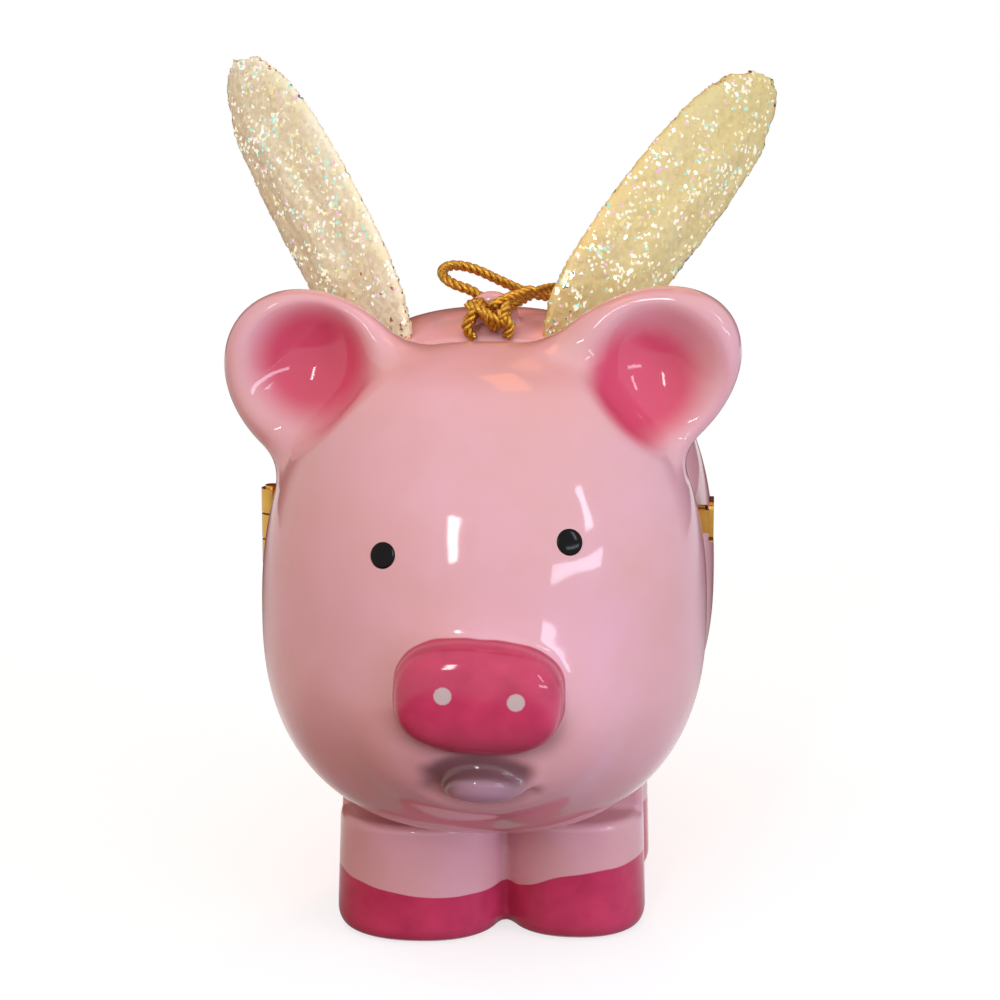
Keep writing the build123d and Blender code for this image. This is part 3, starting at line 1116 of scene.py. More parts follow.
@dataclass
class HalfLobe(Form):
    """Lobe that is cut flat at one plane across the figure."""

    whole: Lobe
    plane_y: float
    direction: int

    def shape(self, work: bmesh.types.BMesh) -> None:
        """Adds the closed half to a mesh.

        Args:
            work: Mesh that takes it.
        """
        self.whole.shape(work)
        bmesh.ops.bisect_plane(
            work,
            geom=[*work.verts, *work.edges, *work.faces],
            plane_co=(0, self.plane_y, 0),
            plane_no=(0, -self.direction, 0),
            clear_outer=True,
        )
        rim = [edge for edge in work.edges if edge.is_boundary]
        bmesh.ops.edgeloop_fill(work, edges=rim)


def half_lobe(whole: Lobe, line: Outline, direction: int) -> HalfLobe:
    """Hollow behind the collar of the head (-1) or body (1)."""
    plane_y = line.seam + direction * (line.rim_setback + line.collar_depth)
    return HalfLobe(whole.centre, whole, plane_y, direction)


@dataclass
class RimPlug(Pad):
    """Post whose outline is shorter below its centre than above it."""

    bottom: float = 1.0

    def shape(self, work: bmesh.types.BMesh) -> None:
        """Adds the plug to a mesh.

        Args:
            work: Mesh that takes it.
        """
        post = bmesh.ops.create_cone(
            work, cap_ends=True, cap_tris=False, segments=96, radius1=1, radius2=1, depth=2
        )["verts"]
        for vert in post:
            height = self.half_height if vert.co.y > 0 else self.bottom
            across = abs(vert.co.x) / self.half_width
            upward = abs(vert.co.y) / height
            reach = (across ** self.fullness + upward ** self.fullness) ** (-1 / self.fullness)
            vert.co = Vector((vert.co.x * reach, vert.co.y * reach, vert.co.z * self.half_depth))
        self.set_down(post)


def rim_plug(line: Outline, direction: int) -> RimPlug:
    """Plug as wide as the bezel's collar, which opens the mouth of the head (-1) or body (1).

    Args:
        line: Sizes of head and body.
        direction: Which of the two it opens.

    Returns:
        The plug, with its outline across Y.
    """
    share = line.rim_share()
    depth = line.collar_depth + line.rim_setback + line.overrun
    middle = line.seam - direction * line.overrun + direction * depth / 2 + direction * line.rim_setback
    return RimPlug(
        Vector((0, middle, line.centre_height)),
        line.half_width * share - line.rim_land,
        line.rise * share - line.rim_land,
        depth / 2,
        edge=0.0,
        fullness=line.fullness,
        turn=turned(90, "X"),
        bottom=line.drop * share - line.rim_land,
    )


@dataclass(frozen=True)
class Ear:
    """Sizes of one ear as seen from the front, on the viewer's right (1) or left (-1)."""

    side: int
    spread: float
    height: float
    tilt: float
    half_width: float
    half_length: float
    blush_across: float
    blush_height: float


@dataclass
class PorcelainHead:
    """Head with cupped ears, snout and lip: the lid of the box."""

    outline: Outline
    grain: float = 0.42
    ears: tuple[Ear, ...] = (
        Ear(-1, 16.1, 58.9, 49.0, 8.65, 11.0, -17.1, 61.5),
        Ear(1, 14.4, 59.5, 54.8, 8.4, 12.3, 15.8, 60.0),
    )
    ear_half_thickness: float = 2.7
    ear_set_back: float = 0.6
    ear_edge: float = 2.6
    ear_join: float = 3.0
    bowl_rim: float = 2.4
    bowl_spread: float = 17.9
    bowl_height: float = 61.2
    bowl_half_width: float = 6.6
    bowl_half_length: float = 5.6
    bowl_half_depth: float = 5.1
    bowl_forward: float = 4.4
    bowl_tilt: float = 50.0
    bowl_tip: float = 26.0
    blush_reach: float = 7.3
    blush_front: float = 1.9
    blush_front_fade: float = 0.8
    blush_rim_share: float = 1.6
    blush_rim_fade_share: float = 0.5
    snout_centre: tuple[float, float] = (1.0, 33.5)
    snout_half_width: float = 8.1
    snout_half_height: float = 5.4
    snout_proud: float = 4.6
    snout_tilt: float = 3.5
    snout_buried: float = 3.0
    snout_edge: float = 2.8
    snout_fullness: float = 2.6
    snout_crown: float = 0.4
    snout_join: float = 0.7
    nostril_places: tuple[tuple[float, float], ...] = ((-2.1, 34.5), (4.8, 34.0))
    nostril_radius: float = 0.86
    bare: float = -5.0
    lip_centre: tuple[float, float] = (1.0, 25.2)
    lip_sizes: tuple[float, float, float, float] = (3.6, 2.0, 1.5, 1.9)
    lip_tilt: float = 4.0
    lip_sunk: float = 0.2
    lip_join: float = 3.6
    mouth_proud: float = 0.6
    mouth_radii: tuple[float, float] = (0.6, 0.4)
    mouth_rim: float = 2.0
    fold_proud: float = 0.3
    fold_radii: tuple[float, float] = (0.5, 0.4)
    fold_rim: float = 1.6
    brush_past: float = 0.15
    brush_wobble: float = 0.1
    wobble_mm: float = 2.2
    lip_strength: float = 0.8
    lip_fade: float = 2.0
    # painted shade: strengths and fades of the darkening in mouth and fold, round the snout's lower edge and
    # over its lower part
    mouth_strength: float = 0.8
    mouth_fade: float = 1.9
    mouth_core: float = 1.1
    fold_strength: float = 0.45
    fold_fade: float = 1.5
    snout_shadow_strength: float = 0.5
    snout_shadow_fade: float = 2.4
    snout_shadow_offset: float = 0.2
    underside_strength: float = 0.42
    underside_fade: float = 5.0
    underside_raise: float = 0.5
    mouth_line: tuple[tuple[float, float], ...] = (
        (-3.2, 24.9),
        (-2.2, 26.2),
        (0.8, 26.8),
        (3.5, 26.4),
        (4.9, 25.5),
    )
    fold_line: tuple[tuple[float, float], ...] = (
        (-3.6, 23.2),
        (-1.6, 22.0),
        (1.2, 21.6),
        (3.6, 21.9),
        (5.8, 23.0),
    )
    muzzle_place: tuple[float, float, float] = (1.0, 4.9, 29.5)
    muzzle_sizes: tuple[float, float, float, float] = (10.5, 5.6, 8.5, 8.0)
    muzzle_join: float = 6.0

    def ear_y(self) -> float:
        """Middle of the ears along Y."""
        return self.outline.seam - self.outline.set_forward + self.ear_set_back

    def plate(self, ear: Ear) -> Pad:
        """Rounded plate of one ear.

        Args:
            ear: Which ear.

        Returns:
            The plate.
        """
        lean = turned(ear.side * ear.tilt, "Y")
        facing = turned(90, "X")
        return Pad(
            Vector((ear.side * ear.spread, self.ear_y(), ear.height)),
            ear.half_width,
            ear.half_length,
            self.ear_half_thickness,
            edge=self.ear_edge,
            turn=lean @ facing,
        )

    def bowl(self, ear: Ear) -> Lobe:
        """Bowl that is pressed into one ear, deepest at its upper inner side.

        Args:
            ear: Which ear.

        Returns:
            The bowl.
        """
        lean = turned(ear.side * self.bowl_tilt, "Y")
        tip = turned(-ear.side * self.bowl_tip, "Z")
        return Lobe(
            Vector((ear.side * self.bowl_spread, self.ear_y() - self.bowl_forward, self.bowl_height)),
            self.bowl_half_width,
            self.bowl_half_depth,
            self.bowl_half_length,
            self.bowl_half_length,
            turn=lean @ tip,
        )

    def snout(self) -> Pad:
        """Oval pad of the snout, a little lower on the viewer's right.

        Returns:
            The pad.
        """
        line = self.outline
        pole = line.seam - line.set_forward - line.head_reach
        half_depth = (self.snout_proud + self.snout_buried) / 2
        facing = turned(90, "X")
        tilt = turned(self.snout_tilt, "Y")
        return Pad(
            Vector((self.snout_centre[0], pole - self.snout_proud + half_depth, self.snout_centre[1])),
            self.snout_half_width,
            self.snout_half_height,
            half_depth,
            edge=self.snout_edge,
            fullness=self.snout_fullness,
            crown=self.snout_crown,
            turn=tilt @ facing,
        )

    def bare_face(self) -> list[tuple[Press, Form, float]]:
        """Main form of the head with the soft swelling of the muzzle.

        Returns:
            The first steps of the head's clay.
        """
        line = self.outline
        widest = line.seam - line.set_forward
        across, inward, height = self.muzzle_place
        muzzle = Lobe(Vector((across, widest - line.head_reach + inward, height)), *self.muzzle_sizes)
        main = line.lobe(1, 0, widest, line.head_reach)
        return [(Press.ADD, main, 0.0), (Press.ADD, muzzle, self.muzzle_join)]

    def on_face(self, guides: Sequence[tuple[float, float]], proud: float) -> list[Vector]:
        """Smooth line over the bare face, some way in front of its skin.

        Args:
            guides: Places across and up, as seen from the front.
            proud: How far in front of the skin the line runs.

        Returns:
            Points of the line.
        """
        line = smooth_line([Vector((across, 0, height)) * MM for across, height in guides], 6)
        points = np.array([point / MM for point in line])
        points[:, 1] = self.outline.seam - self.outline.set_forward - self.outline.head_reach
        face = Clay(self.bare_face())
        rounds, haste = 20, 0.7
        for _ in range(rounds):
            points[:, 1] += haste * face.distance(points)
        points[:, 1] -= proud
        return [Vector(point) for point in points]

    def lips(self) -> list[tuple[Press, Form, float]]:
        """Rolled lower lip, with the mouth above it and a fold below.

        Returns:
            Three steps of clay: lip, mouth and fold.
        """
        nowhere = Vector((0, 0, 0))
        middle = self.on_face([self.lip_centre] * 3, -self.lip_sunk)[0]
        lip = Lobe(middle, *self.lip_sizes, turn=turned(self.lip_tilt, "Y"))
        mouth = Roll(nowhere, self.on_face(self.mouth_line, self.mouth_proud), *self.mouth_radii)
        fold = Roll(nowhere, self.on_face(self.fold_line, self.fold_proud), *self.fold_radii)
        return [
            (Press.ADD, lip, self.lip_join),
            (Press.CUT, mouth, self.mouth_rim),
            (Press.CUT, fold, self.fold_rim),
        ]

    def clay(self) -> Clay:
        """All the forms of the head, in the order of modelling.

        Returns:
            The clay of the whole head.
        """
        line = self.outline
        steps = self.bare_face()
        for ear in self.ears:
            steps.append((Press.ADD, self.plate(ear), self.ear_join))
        for ear in self.ears:
            steps.append((Press.CUT, self.bowl(ear), self.bowl_rim))
        steps.extend(self.lips())
        steps.append((Press.ADD, self.snout(), self.snout_join))
        rim = Block(
            Vector((0, line.seam - line.rim_setback + ROOM, line.centre_height)), Vector((ROOM, ROOM, ROOM))
        )
        steps.append((Press.CUT, rim, line.rim_round))
        return Clay(steps)

    def paint(self, mesh: bpy.types.Mesh) -> None:
        """Marks where snout, nostrils, ears and lip are painted, and where painted shade darkens mouth, fold
        and the snout's lower part.

        Args:
            mesh: The head's mesh in millimetres.
        """
        points = points_of(mesh)
        line = self.outline
        ahead = points[:, 1] < line.seam - line.set_forward - 0.5 * line.head_reach
        wobble = np.array([noise.noise(Vector(point) / self.wobble_mm) for point in points])
        edge = self.brush_past + self.brush_wobble * wobble - self.snout().side(points)
        keep_field(mesh, "painted", np.where(ahead, edge, self.bare))
        nostrils = np.full(len(points), self.bare)
        for across, height in self.nostril_places:
            gap = np.hypot(points[:, 0] - across, points[:, 2] - height)
            nostrils = np.maximum(nostrils, self.nostril_radius - gap)
        keep_field(mesh, "nostrils", np.where(ahead, nostrils, self.bare))
        keep_field(mesh, "blush", self.blush(points))
        keep_field(mesh, "lip", np.where(ahead, self.lip_tone(points), 0))
        # painted shade in mouth and fold and under the snout
        keep_field(mesh, "painted_shade", np.where(ahead, self.painted_shade_tone(points), 0))

    def blush(self, points: np.ndarray) -> np.ndarray:
        """Strength of the darker pink that is sprayed into the ears.

        Args:
            points: Vertices of the head.

        Returns:
            A share from 0 to 1 for each.
        """
        total = np.zeros(len(points))
        for ear in self.ears:
            bowl = self.bowl(ear)
            reach = np.hypot(points[:, 0] - ear.blush_across, points[:, 2] - ear.blush_height)
            behind = self.ear_y() + self.blush_front - points[:, 1]
            front = np.clip(behind / self.blush_front_fade, 0, 1)
            span = bowl.span(bowl.local(points))[0]
            inside = np.clip((self.blush_rim_share - span) / self.blush_rim_fade_share, 0, 1)
            spray = np.clip(2 - 2 * reach / self.blush_reach, 0, 1) * inside
            total = np.maximum(total, spray * front)
        return total

    def lip_tone(self, points: np.ndarray) -> np.ndarray:
        """Strength of the mauve on the lip, which fades round it."""
        lip = self.lips()[0][1]
        return np.clip(self.lip_strength - lip.distance(points) / self.lip_fade, 0, self.lip_strength)

    def painted_shade_tone(self, points: np.ndarray) -> np.ndarray:
        """Strength of the painted shade in mouth and fold, under the snout and over the snout's lower part.

        Args:
            points: Vertices of the head.

        Returns:
            A share from 0 to 1 for each.
        """
        mouth, fold = (form for _, form, _ in self.lips()[1:])
        side = self.snout().side(points)
        top = self.snout_centre[1] + self.underside_raise
        below = np.clip((top - points[:, 2]) / self.underside_fade, 0, 1)
        near_edge = np.clip(1 - np.abs(side - self.snout_shadow_offset) / self.snout_shadow_fade, 0, 1)
        # painted shade: darker in mouth and fold, along the snout's lower edge and towards the snout's bottom
        return np.max([
            self.mouth_strength
            * np.clip(self.mouth_core - mouth.distance(points) / self.mouth_fade, 0, 1),
            self.fold_strength * np.clip(1 - fold.distance(points) / self.fold_fade, 0, 1),
            self.snout_shadow_strength * below * near_edge,
            np.where(side < 0, self.underside_strength * below, 0),
        ], axis=0)

    def build(self, glazes: Sequence[bpy.types.Material]) -> bpy.types.Object:
        """Makes the head and puts it in place of its plain CAD form.

        Args:
            glazes: Pink glaze outside and white glaze inside.

        Returns:
            The head.
        """
        line = self.outline
        widest = line.seam - line.set_forward
        skin = self.clay().mesh("head", self.grain)
        hollow = line.lobe(1, line.wall, widest, line.head_reach)
        mesh = hollowed("head", skin, [half_lobe(hollow, line, -1), rim_plug(line, -1)], 1)
        self.paint(mesh)
        for glaze in glazes:
            mesh.materials.append(glaze)
        mesh.transform(Matrix.Scale(MM, 4))
        piece = shown_object("porcelain_head", mesh)
        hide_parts("head_shell")
        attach(piece, "head")
        return piece


@dataclass
class EnamelEye:
    """Eye: a drop of enamel on the face, a little domed."""

    head: PorcelainHead
    name: str
    across: float
    height: float
    radius: float = 1.3
    dome: float = 0.24
    sunk: float = 0.05

    def build(self, finish: bpy.types.Material) -> bpy.types.Object:
        """Makes the drop where the face's skin lies.

        Args:
            finish: Black enamel.

        Returns:
            The eye.
        """
        clay = self.head.clay()
        guess = np.array([self.head.on_face([(self.across, self.height)] * 3, 0)[0]])
        probe = 0.05
        slope = Vector([
            float((clay.distance(guess + probe * side) - clay.distance(guess - probe * side))[0])
            for side in np.eye(3)
        ]).normalized()
        work = bmesh.new()
        verts = bmesh.ops.create_icosphere(work, subdivisions=5, radius=1)["verts"]
        bmesh.ops.scale(work, verts=verts, vec=(self.radius, self.radius, self.dome))
        turn = slope.to_track_quat("Z", "Y").to_matrix()
        place = Vector(guess[0]) - slope * self.sunk
        for vert in verts:
            vert.co = (place + turn @ vert.co) * MM
        mesh = finished_mesh(work, self.name)
        mesh.materials.append(finish)
        piece = shown_object(self.name, mesh)
        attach(piece, "head")
        return piece


@dataclass
class PorcelainBody:
    """Body with four legs, curly tail and hanging ring: the box itself."""

    outline: Outline
    grain: float = 0.42
    leg_top: float = 12.8
    leg_half_height: float = 12.0
    leg_edge: float = 2.2
    leg_fullness: float = 2.2
    leg_waist: float = 0.91
    hoof_height: float = 5.2
    hoof_middle: float = -1.5
    hoof_bends: tuple[float, float] = (0.0085, 0.005)
    hoof_step: float = 1.6
    hoof_step_start: float = 2.0
    hoof_step_width: float = 7.0
    hoof_wobble: float = 0.2
    wobble_mm: float = 3.0
    leg_join: float = 1.6
    ring_join: float = 0.7
    tail_join: float = 0.8
    bare: float = -5.0
    front_legs_behind: float = 9.0
    pair_gap: float = 3.6
    rear_half_depth: float = 7.0
    front_legs: tuple[tuple[float, float, float], ...] = ((-7.2, 8.9, 8.2), (9.1, 7.4, 7.1))
    ring_radius: float = 1.8
    ring_bar: float = 0.85
    ring_behind: float = 5.1
    ring_lift: float = 0.4
    ring_steps: int = 24
    tail_radius: float = 2.5
    tail_thick: float = 1.25
    tail_thin: float = 0.7
    tail_pitch: float = 2.9
    tail_turns: float = 1.25
    tail_height: float = 43.0
    tail_root_depth: float = 1.4
    tail_steps: int = 30

    def leg(self, centre_x: float, centre_y: float, half_width: float, half_depth: float) -> Pad:
        """Post of one leg, from the ground up into the body.

        Args:
            centre_x: Its place across the figure.
            centre_y: Its place along Y.
            half_width: Half its width at the foot.
            half_depth: Half its depth at the foot.

        Returns:
            The post.
        """
        return Pad(
            Vector((centre_x, centre_y, self.leg_half_height)),
            half_width,
            half_depth,
            self.leg_half_height,
            edge=self.leg_edge,
            fullness=self.leg_fullness,
            waist=self.leg_waist,
        )

    def legs(self) -> list[Pad]:
        """Front and rear pairs, the viewer's left leg a little wider than the right.

        Returns:
            The four posts.
        """
        front_end = self.outline.seam + self.front_legs_behind
        rear_y = front_end + self.pair_gap + self.rear_half_depth
        made = []
        for across, half_width, half_depth in self.front_legs:
            made.append(self.leg(across, front_end - half_depth, half_width, half_depth))
            made.append(self.leg(across, rear_y, half_width, self.rear_half_depth))
        return made

    def ring(self) -> Roll:
        """Hanging ring, half buried in the back.

        Returns:
            The ring as a roll whose ends meet.
        """
        line = self.outline
        height = line.surface_height(0, self.ring_behind) + self.ring_lift
        turns = [math.radians(360 / self.ring_steps * step) for step in range(self.ring_steps + 1)]
        bar = [Vector((self.ring_radius * math.cos(a), 0, self.ring_radius * math.sin(a))) for a in turns]
        return Roll(Vector((0, line.seam + self.ring_behind, height)), bar, self.ring_bar, self.ring_bar)

    def tail(self) -> Roll:
        """Curl of one and a quarter turns that thins towards its tip.

        Returns:
            The tail as a roll.
        """
        line = self.outline
        rump = line.seam + line.set_back + line.body_reach
        length = self.tail_pitch * self.tail_turns
        centre = Vector((-length / 2, rump - self.tail_root_depth + self.tail_radius, self.tail_height))
        curl = []
        for step in range(self.tail_steps + 1):
            share = step / self.tail_steps
            angle = 2 * math.pi * self.tail_turns * share
            curl.append(Vector((
                length * share,
                self.tail_radius * math.sin(angle),
                -self.tail_radius * math.cos(angle),
            )))
        return Roll(centre, curl, self.tail_thick, self.tail_thin)

    def clay(self) -> Clay:
        """All the forms of the body, in the order of modelling.

        Returns:
            The clay of the whole body.
        """
        line = self.outline
        widest = line.seam + line.set_back
        steps = [(Press.ADD, line.lobe(line.body_swell(), 0, widest, line.body_reach), 0.0)]
        for leg in self.legs():
            steps.append((Press.ADD, leg, self.leg_join))
        chin_space = Block(
            Vector((0, line.seam + line.rim_setback - ROOM, self.leg_top + ROOM)), Vector((ROOM, ROOM, ROOM))
        )
        steps.append((Press.CUT, chin_space, line.rim_round))
        steps.append((Press.ADD, self.ring(), self.ring_join))
        steps.append((Press.ADD, self.tail(), self.tail_join))
        return Clay(steps)

    def paint(self, mesh: bpy.types.Mesh) -> None:
        """Marks the painted hooves.

        Args:
            mesh: The body's mesh in millimetres.
        """
        points = points_of(mesh)
        across = points[:, 0]
        left_bend, right_bend = self.hoof_bends
        bend = np.where(across < self.hoof_middle, left_bend, right_bend) * (across - self.hoof_middle) ** 2
        step = np.clip((across - self.hoof_step_start) / self.hoof_step_width, 0, 1)
        wobble = np.array([noise.noise(Vector(point) / self.wobble_mm) for point in points])
        height = self.hoof_height + bend + self.hoof_step * step ** 2 * (3 - 2 * step)
        keep_field(mesh, "painted", height + self.hoof_wobble * wobble - points[:, 2])
        keep_field(mesh, "nostrils", np.full(len(points), self.bare))
        # the body has no ear blush, lip tone or painted shade
        for name in ("blush", "lip", "painted_shade"):
            keep_field(mesh, name, np.zeros(len(points)))

    def build(self, glazes: Sequence[bpy.types.Material]) -> bpy.types.Object:
        """Makes the body and puts it in place of its plain CAD form.

        Args:
            glazes: Pink glaze outside and white glaze inside.

        Returns:
            The body.
        """
        line = self.outline
        widest = line.seam + line.set_back
        skin = self.clay().mesh("body", self.grain)
        hollow = line.lobe(line.body_swell(), line.wall, widest, line.body_reach)
        mesh = hollowed("body", skin, [half_lobe(hollow, line, 1), rim_plug(line, 1)], 1)
        self.paint(mesh)
        for glaze in glazes:
            mesh.materials.append(glaze)
        mesh.transform(Matrix.Scale(MM, 4))
        piece = shown_object("porcelain_body", mesh)
        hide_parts("body_shell")
        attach(piece, "body")
        return piece


@dataclass
class GlitterWing:
    """Wing with a scalloped outer edge and rows of feathers under a rough glitter coat."""

    outline: Outline
    node: str
    side: int
    spread: float
    lean: float
    sweep: float = 40.0
    behind_seam: float = 5.5
    half_length: float = 20.0
    centre: float = 15.0
    axis_inward: float = 1.1
    half_chord: float = 6.2
    half_thickness: float = 1.35
    fullness: float = 2.4
    feather_lean: float = 14.0
    feather_join: float = 0.8
    feather_rows: tuple[tuple[int, float, tuple[float, float, float], float, float], ...] = (
        (4, 0.57, (2.1, 1.0, 6.2), -0.37, 0.43),
        (4, 0.2, (2.3, 1.75, 5.4), -0.3, 0.45),
    )
    tip_across: float = 0.6
    tip_sizes: tuple[float, float, float] = (4.3, 1.0, 8.6)
    grain: float = 0.32
    crust: float = 0.07
    crust_mm: float = 0.5

    def placed(self, across: float, along: float, lean: float, sizes: Sequence[float]) -> Lobe:
        """One lobe of the wing, in the place that the wing's own lean and sweep give it.

        Args:
            across: Place towards the outer edge.
            along: Place up the wing from its root.
            lean: Lean of the lobe within the wing.
            sizes: Half width, half thickness and half length.

        Returns:
            The lobe.
        """
        line = self.outline
        turn = turned(self.side * self.sweep, "Z") @ turned(self.side * self.lean, "Y")
        root_height = line.surface_height(self.spread, self.behind_seam)
        root = Vector((self.side * self.spread, line.seam + self.behind_seam, root_height))
        place = root + turn @ Vector((self.side * (across - self.axis_inward), 0, along))
        fan = turned(self.side * lean, "Y")
        return Lobe(place, sizes[0], sizes[1], sizes[2], sizes[2], turn=turn @ fan)

    def clay(self) -> Clay:
        """Blade, two rows of feathers and the rounded tip.

        Returns:
            The clay of the wing.
        """
        blade = self.placed(0, self.centre, 0, (self.half_chord, self.half_thickness, self.half_length))
        blade.fullness = self.fullness
        steps = [(Press.ADD, blade, 0.0)]
        for count, edge_share, sizes, first, last in self.feather_rows:
            for step in range(count):
                share = first + (last - first) * step / (count - 1)
                chord = self.half_chord * math.sqrt(1 - share ** 2)
                along = self.centre + share * self.half_length
                feather = self.placed(chord * edge_share, along, self.feather_lean, sizes)
                steps.append((Press.ADD, feather, self.feather_join))
        tip_along = self.centre + self.half_length - self.tip_sizes[2]
        tip = self.placed(self.tip_across, tip_along, 0, self.tip_sizes)
        steps.append((Press.ADD, tip, self.feather_join))
        return Clay(steps)

    def build(self, finish: bpy.types.Material) -> bpy.types.Object:
        """Makes the wing, with grains of glitter that stand proud, in place of its CAD form.

        Args:
            finish: Glitter on paint.

        Returns:
            The wing.
        """
        mesh = self.clay().mesh(self.node, self.grain, rounds=8)
        normals = np.zeros(len(mesh.vertices) * 3)
        mesh.vertices.foreach_get("normal", normals)
        points = points_of(mesh)
        heights = np.array([
            noise.cell(Vector(point) / self.crust_mm) + noise.noise(Vector(point) / self.crust_mm)
            for point in points
        ])
        place_points(mesh, points + normals.reshape(-1, 3) * (heights * self.crust)[:, None])
        mesh.materials.append(finish)
        mesh.transform(Matrix.Scale(MM, 4))
        piece = shown_object("glitter_" + self.node, mesh)
        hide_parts(self.node)
        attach(piece, "body")
        return piece


@dataclass
class HangingCord:
    """Twisted metallic cord: three yarns round one line, from the knot and back to it."""

    seam: float
    radius: float = 0.55
    yarns: int = 3
    lay_length: float = 2.4
    length: float = 147.0
    route: tuple[tuple[float, float, float], ...] = (
        (0.1, 2.9, 64.6),
        (0.1, 7.1, 64.6),
        (-2.1, 7.7, 66.5),
        (-3.9, 7.7, 67.0),
        (-5.2, 8.4, 67.6),
        (-5.8, 10.5, 68.2),
        (-4.7, 12.4, 68.5),
        (-2.4, 13.1, 68.0),
        (0.7, 13.1, 66.5),
        (3.4, 14.2, 65.1),
        (6.4, 15.9, 64.5),
        (9.2, 18.2, 63.3),
        (10.9, 20.9, 61.3),
        (11.8, 25.3, 56.5),
        (12.0, 29.3, 50.5),
        (11.7, 31.9, 43.8),
        (11.1, 33.3, 36.6),
        (10.7, 33.7, 27.6),
        (11.9, 34.0, 23.2),
        (15.0, 33.2, 20.9),
        (18.0, 31.6, 23.0),
        (19.3, 30.3, 27.6),
        (19.9, 29.6, 35.2),
        (19.5, 28.1, 41.6),
        (18.4, 25.5, 48.8),
        (16.2, 21.8, 56.0),
        (13.0, 17.4, 62.3),
        (9.5, 13.1, 65.9),
        (5.9, 9.1, 66.8),
        (3.8, 5.7, 66.5),
        (1.5, 2.8, 65.3),
    )

    def line(self) -> list[Vector]:
        """Points along the smooth line that the route guides, in metres."""
        return smooth_line([Vector((x, self.seam + y, z)) * MM for x, y, z in self.route])

    def build(self, finish: bpy.types.Material, knot: bpy.types.Object) -> bpy.types.Object:
        """Makes the cord in place of its plain CAD tube.

        Args:
            finish: Metallic yarn.
            knot: The knot in which both its ends lie; not used.

        Returns:
            The cord.
        """
        line = self.line()
        mesh = twisted_yarns("hanging_cord", line, self.radius * MM, self.yarns, self.lay_length * MM)
        mesh.materials.append(finish)
        piece = shown_object("gold_hanging_cord", mesh)
        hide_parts("hanging_cord")
        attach(piece, "body")
        return piece


def smooth_line(guides: Sequence[Vector], fineness: int = 12) -> list[Vector]:
    """Points of a smooth curve that chosen points pull into shape.

    Args:
        guides: Control points of the curve.
        fineness: Points made for each control point.

    Returns:
        Points along the curve, from its first guide to its last.
    """
    curve = bpy.data.curves.new("line", "CURVE")
    curve.dimensions = "3D"
    curve.resolution_u = fineness
    spline = curve.splines.new("NURBS")
    spline.points.add(len(guides) - 1)
    for point, place in zip(spline.points, guides):
        point.co = (*place, 1)
    spline.order_u = 3
    spline.use_endpoint_u = True
    holder = bpy.data.objects.new("line", curve)
    mesh = bpy.data.meshes.new_from_object(holder)
    points = [vert.co.copy() for vert in mesh.vertices]
    bpy.data.meshes.remove(mesh)
    bpy.data.curves.remove(curve)
    return points


def twisted_yarns(
    name: str, line: Sequence[Vector], radius: float, yarns: int, lay_length: float, start_turn: float = 0.0
) -> bpy.types.Mesh:
    """Winds yarns round a line, as tubes that touch each other.

    Args:
        name: Name of the mesh.
        line: Points down the middle of the cord, in metres.
        radius: Radius of the whole cord.
        yarns: How many yarns it has.
        lay_length: Length of one full twist.
        start_turn: Angle of the first yarn where the cord starts.

    Returns:
        One mesh of all the yarns.
    """
    snugness = 1.06
    sine = math.sin(math.pi / yarns)
    yarn_radius = radius * sine / (1 + sine)
    winding = radius - yarn_radius
    curve = bpy.data.curves.new(name, "CURVE")
    curve.dimensions = "3D"
    curve.bevel_depth = yarn_radius * snugness
    curve.bevel_resolution = 2
    curve.use_fill_caps = True
    places, aside, walked = [], [], []
    direction = (line[1] - line[0]).normalized()
    side = direction.orthogonal().normalized()
    length = 0.0
    for step, point in enumerate(line):
        ahead = line[min(step + 1, len(line) - 1)] - line[max(step - 1, 0)]
        bend = direction.rotation_difference(ahead.normalized())
        side = (bend @ side).normalized()
        direction = ahead.normalized()
        if step:
            length += (point - line[step - 1]).length
        places.append(point)
        aside.append((side, direction.cross(side)))
        walked.append(length)
    for yarn in range(yarns):
        spline = curve.splines.new("POLY")
        spline.points.add(len(line) - 1)
        for point, place, (one, other), distance in zip(spline.points, places, aside, walked):
            angle = start_turn + 2 * math.pi * (yarn / yarns + distance / lay_length)
            offset = one * math.cos(angle) + other * math.sin(angle)
            point.co = (*(place + offset * winding), 1)
    holder = bpy.data.objects.new(name, curve)
    mesh = bpy.data.meshes.new_from_object(holder)
    mesh.name = name
    bpy.data.curves.remove(curve)
    return mesh


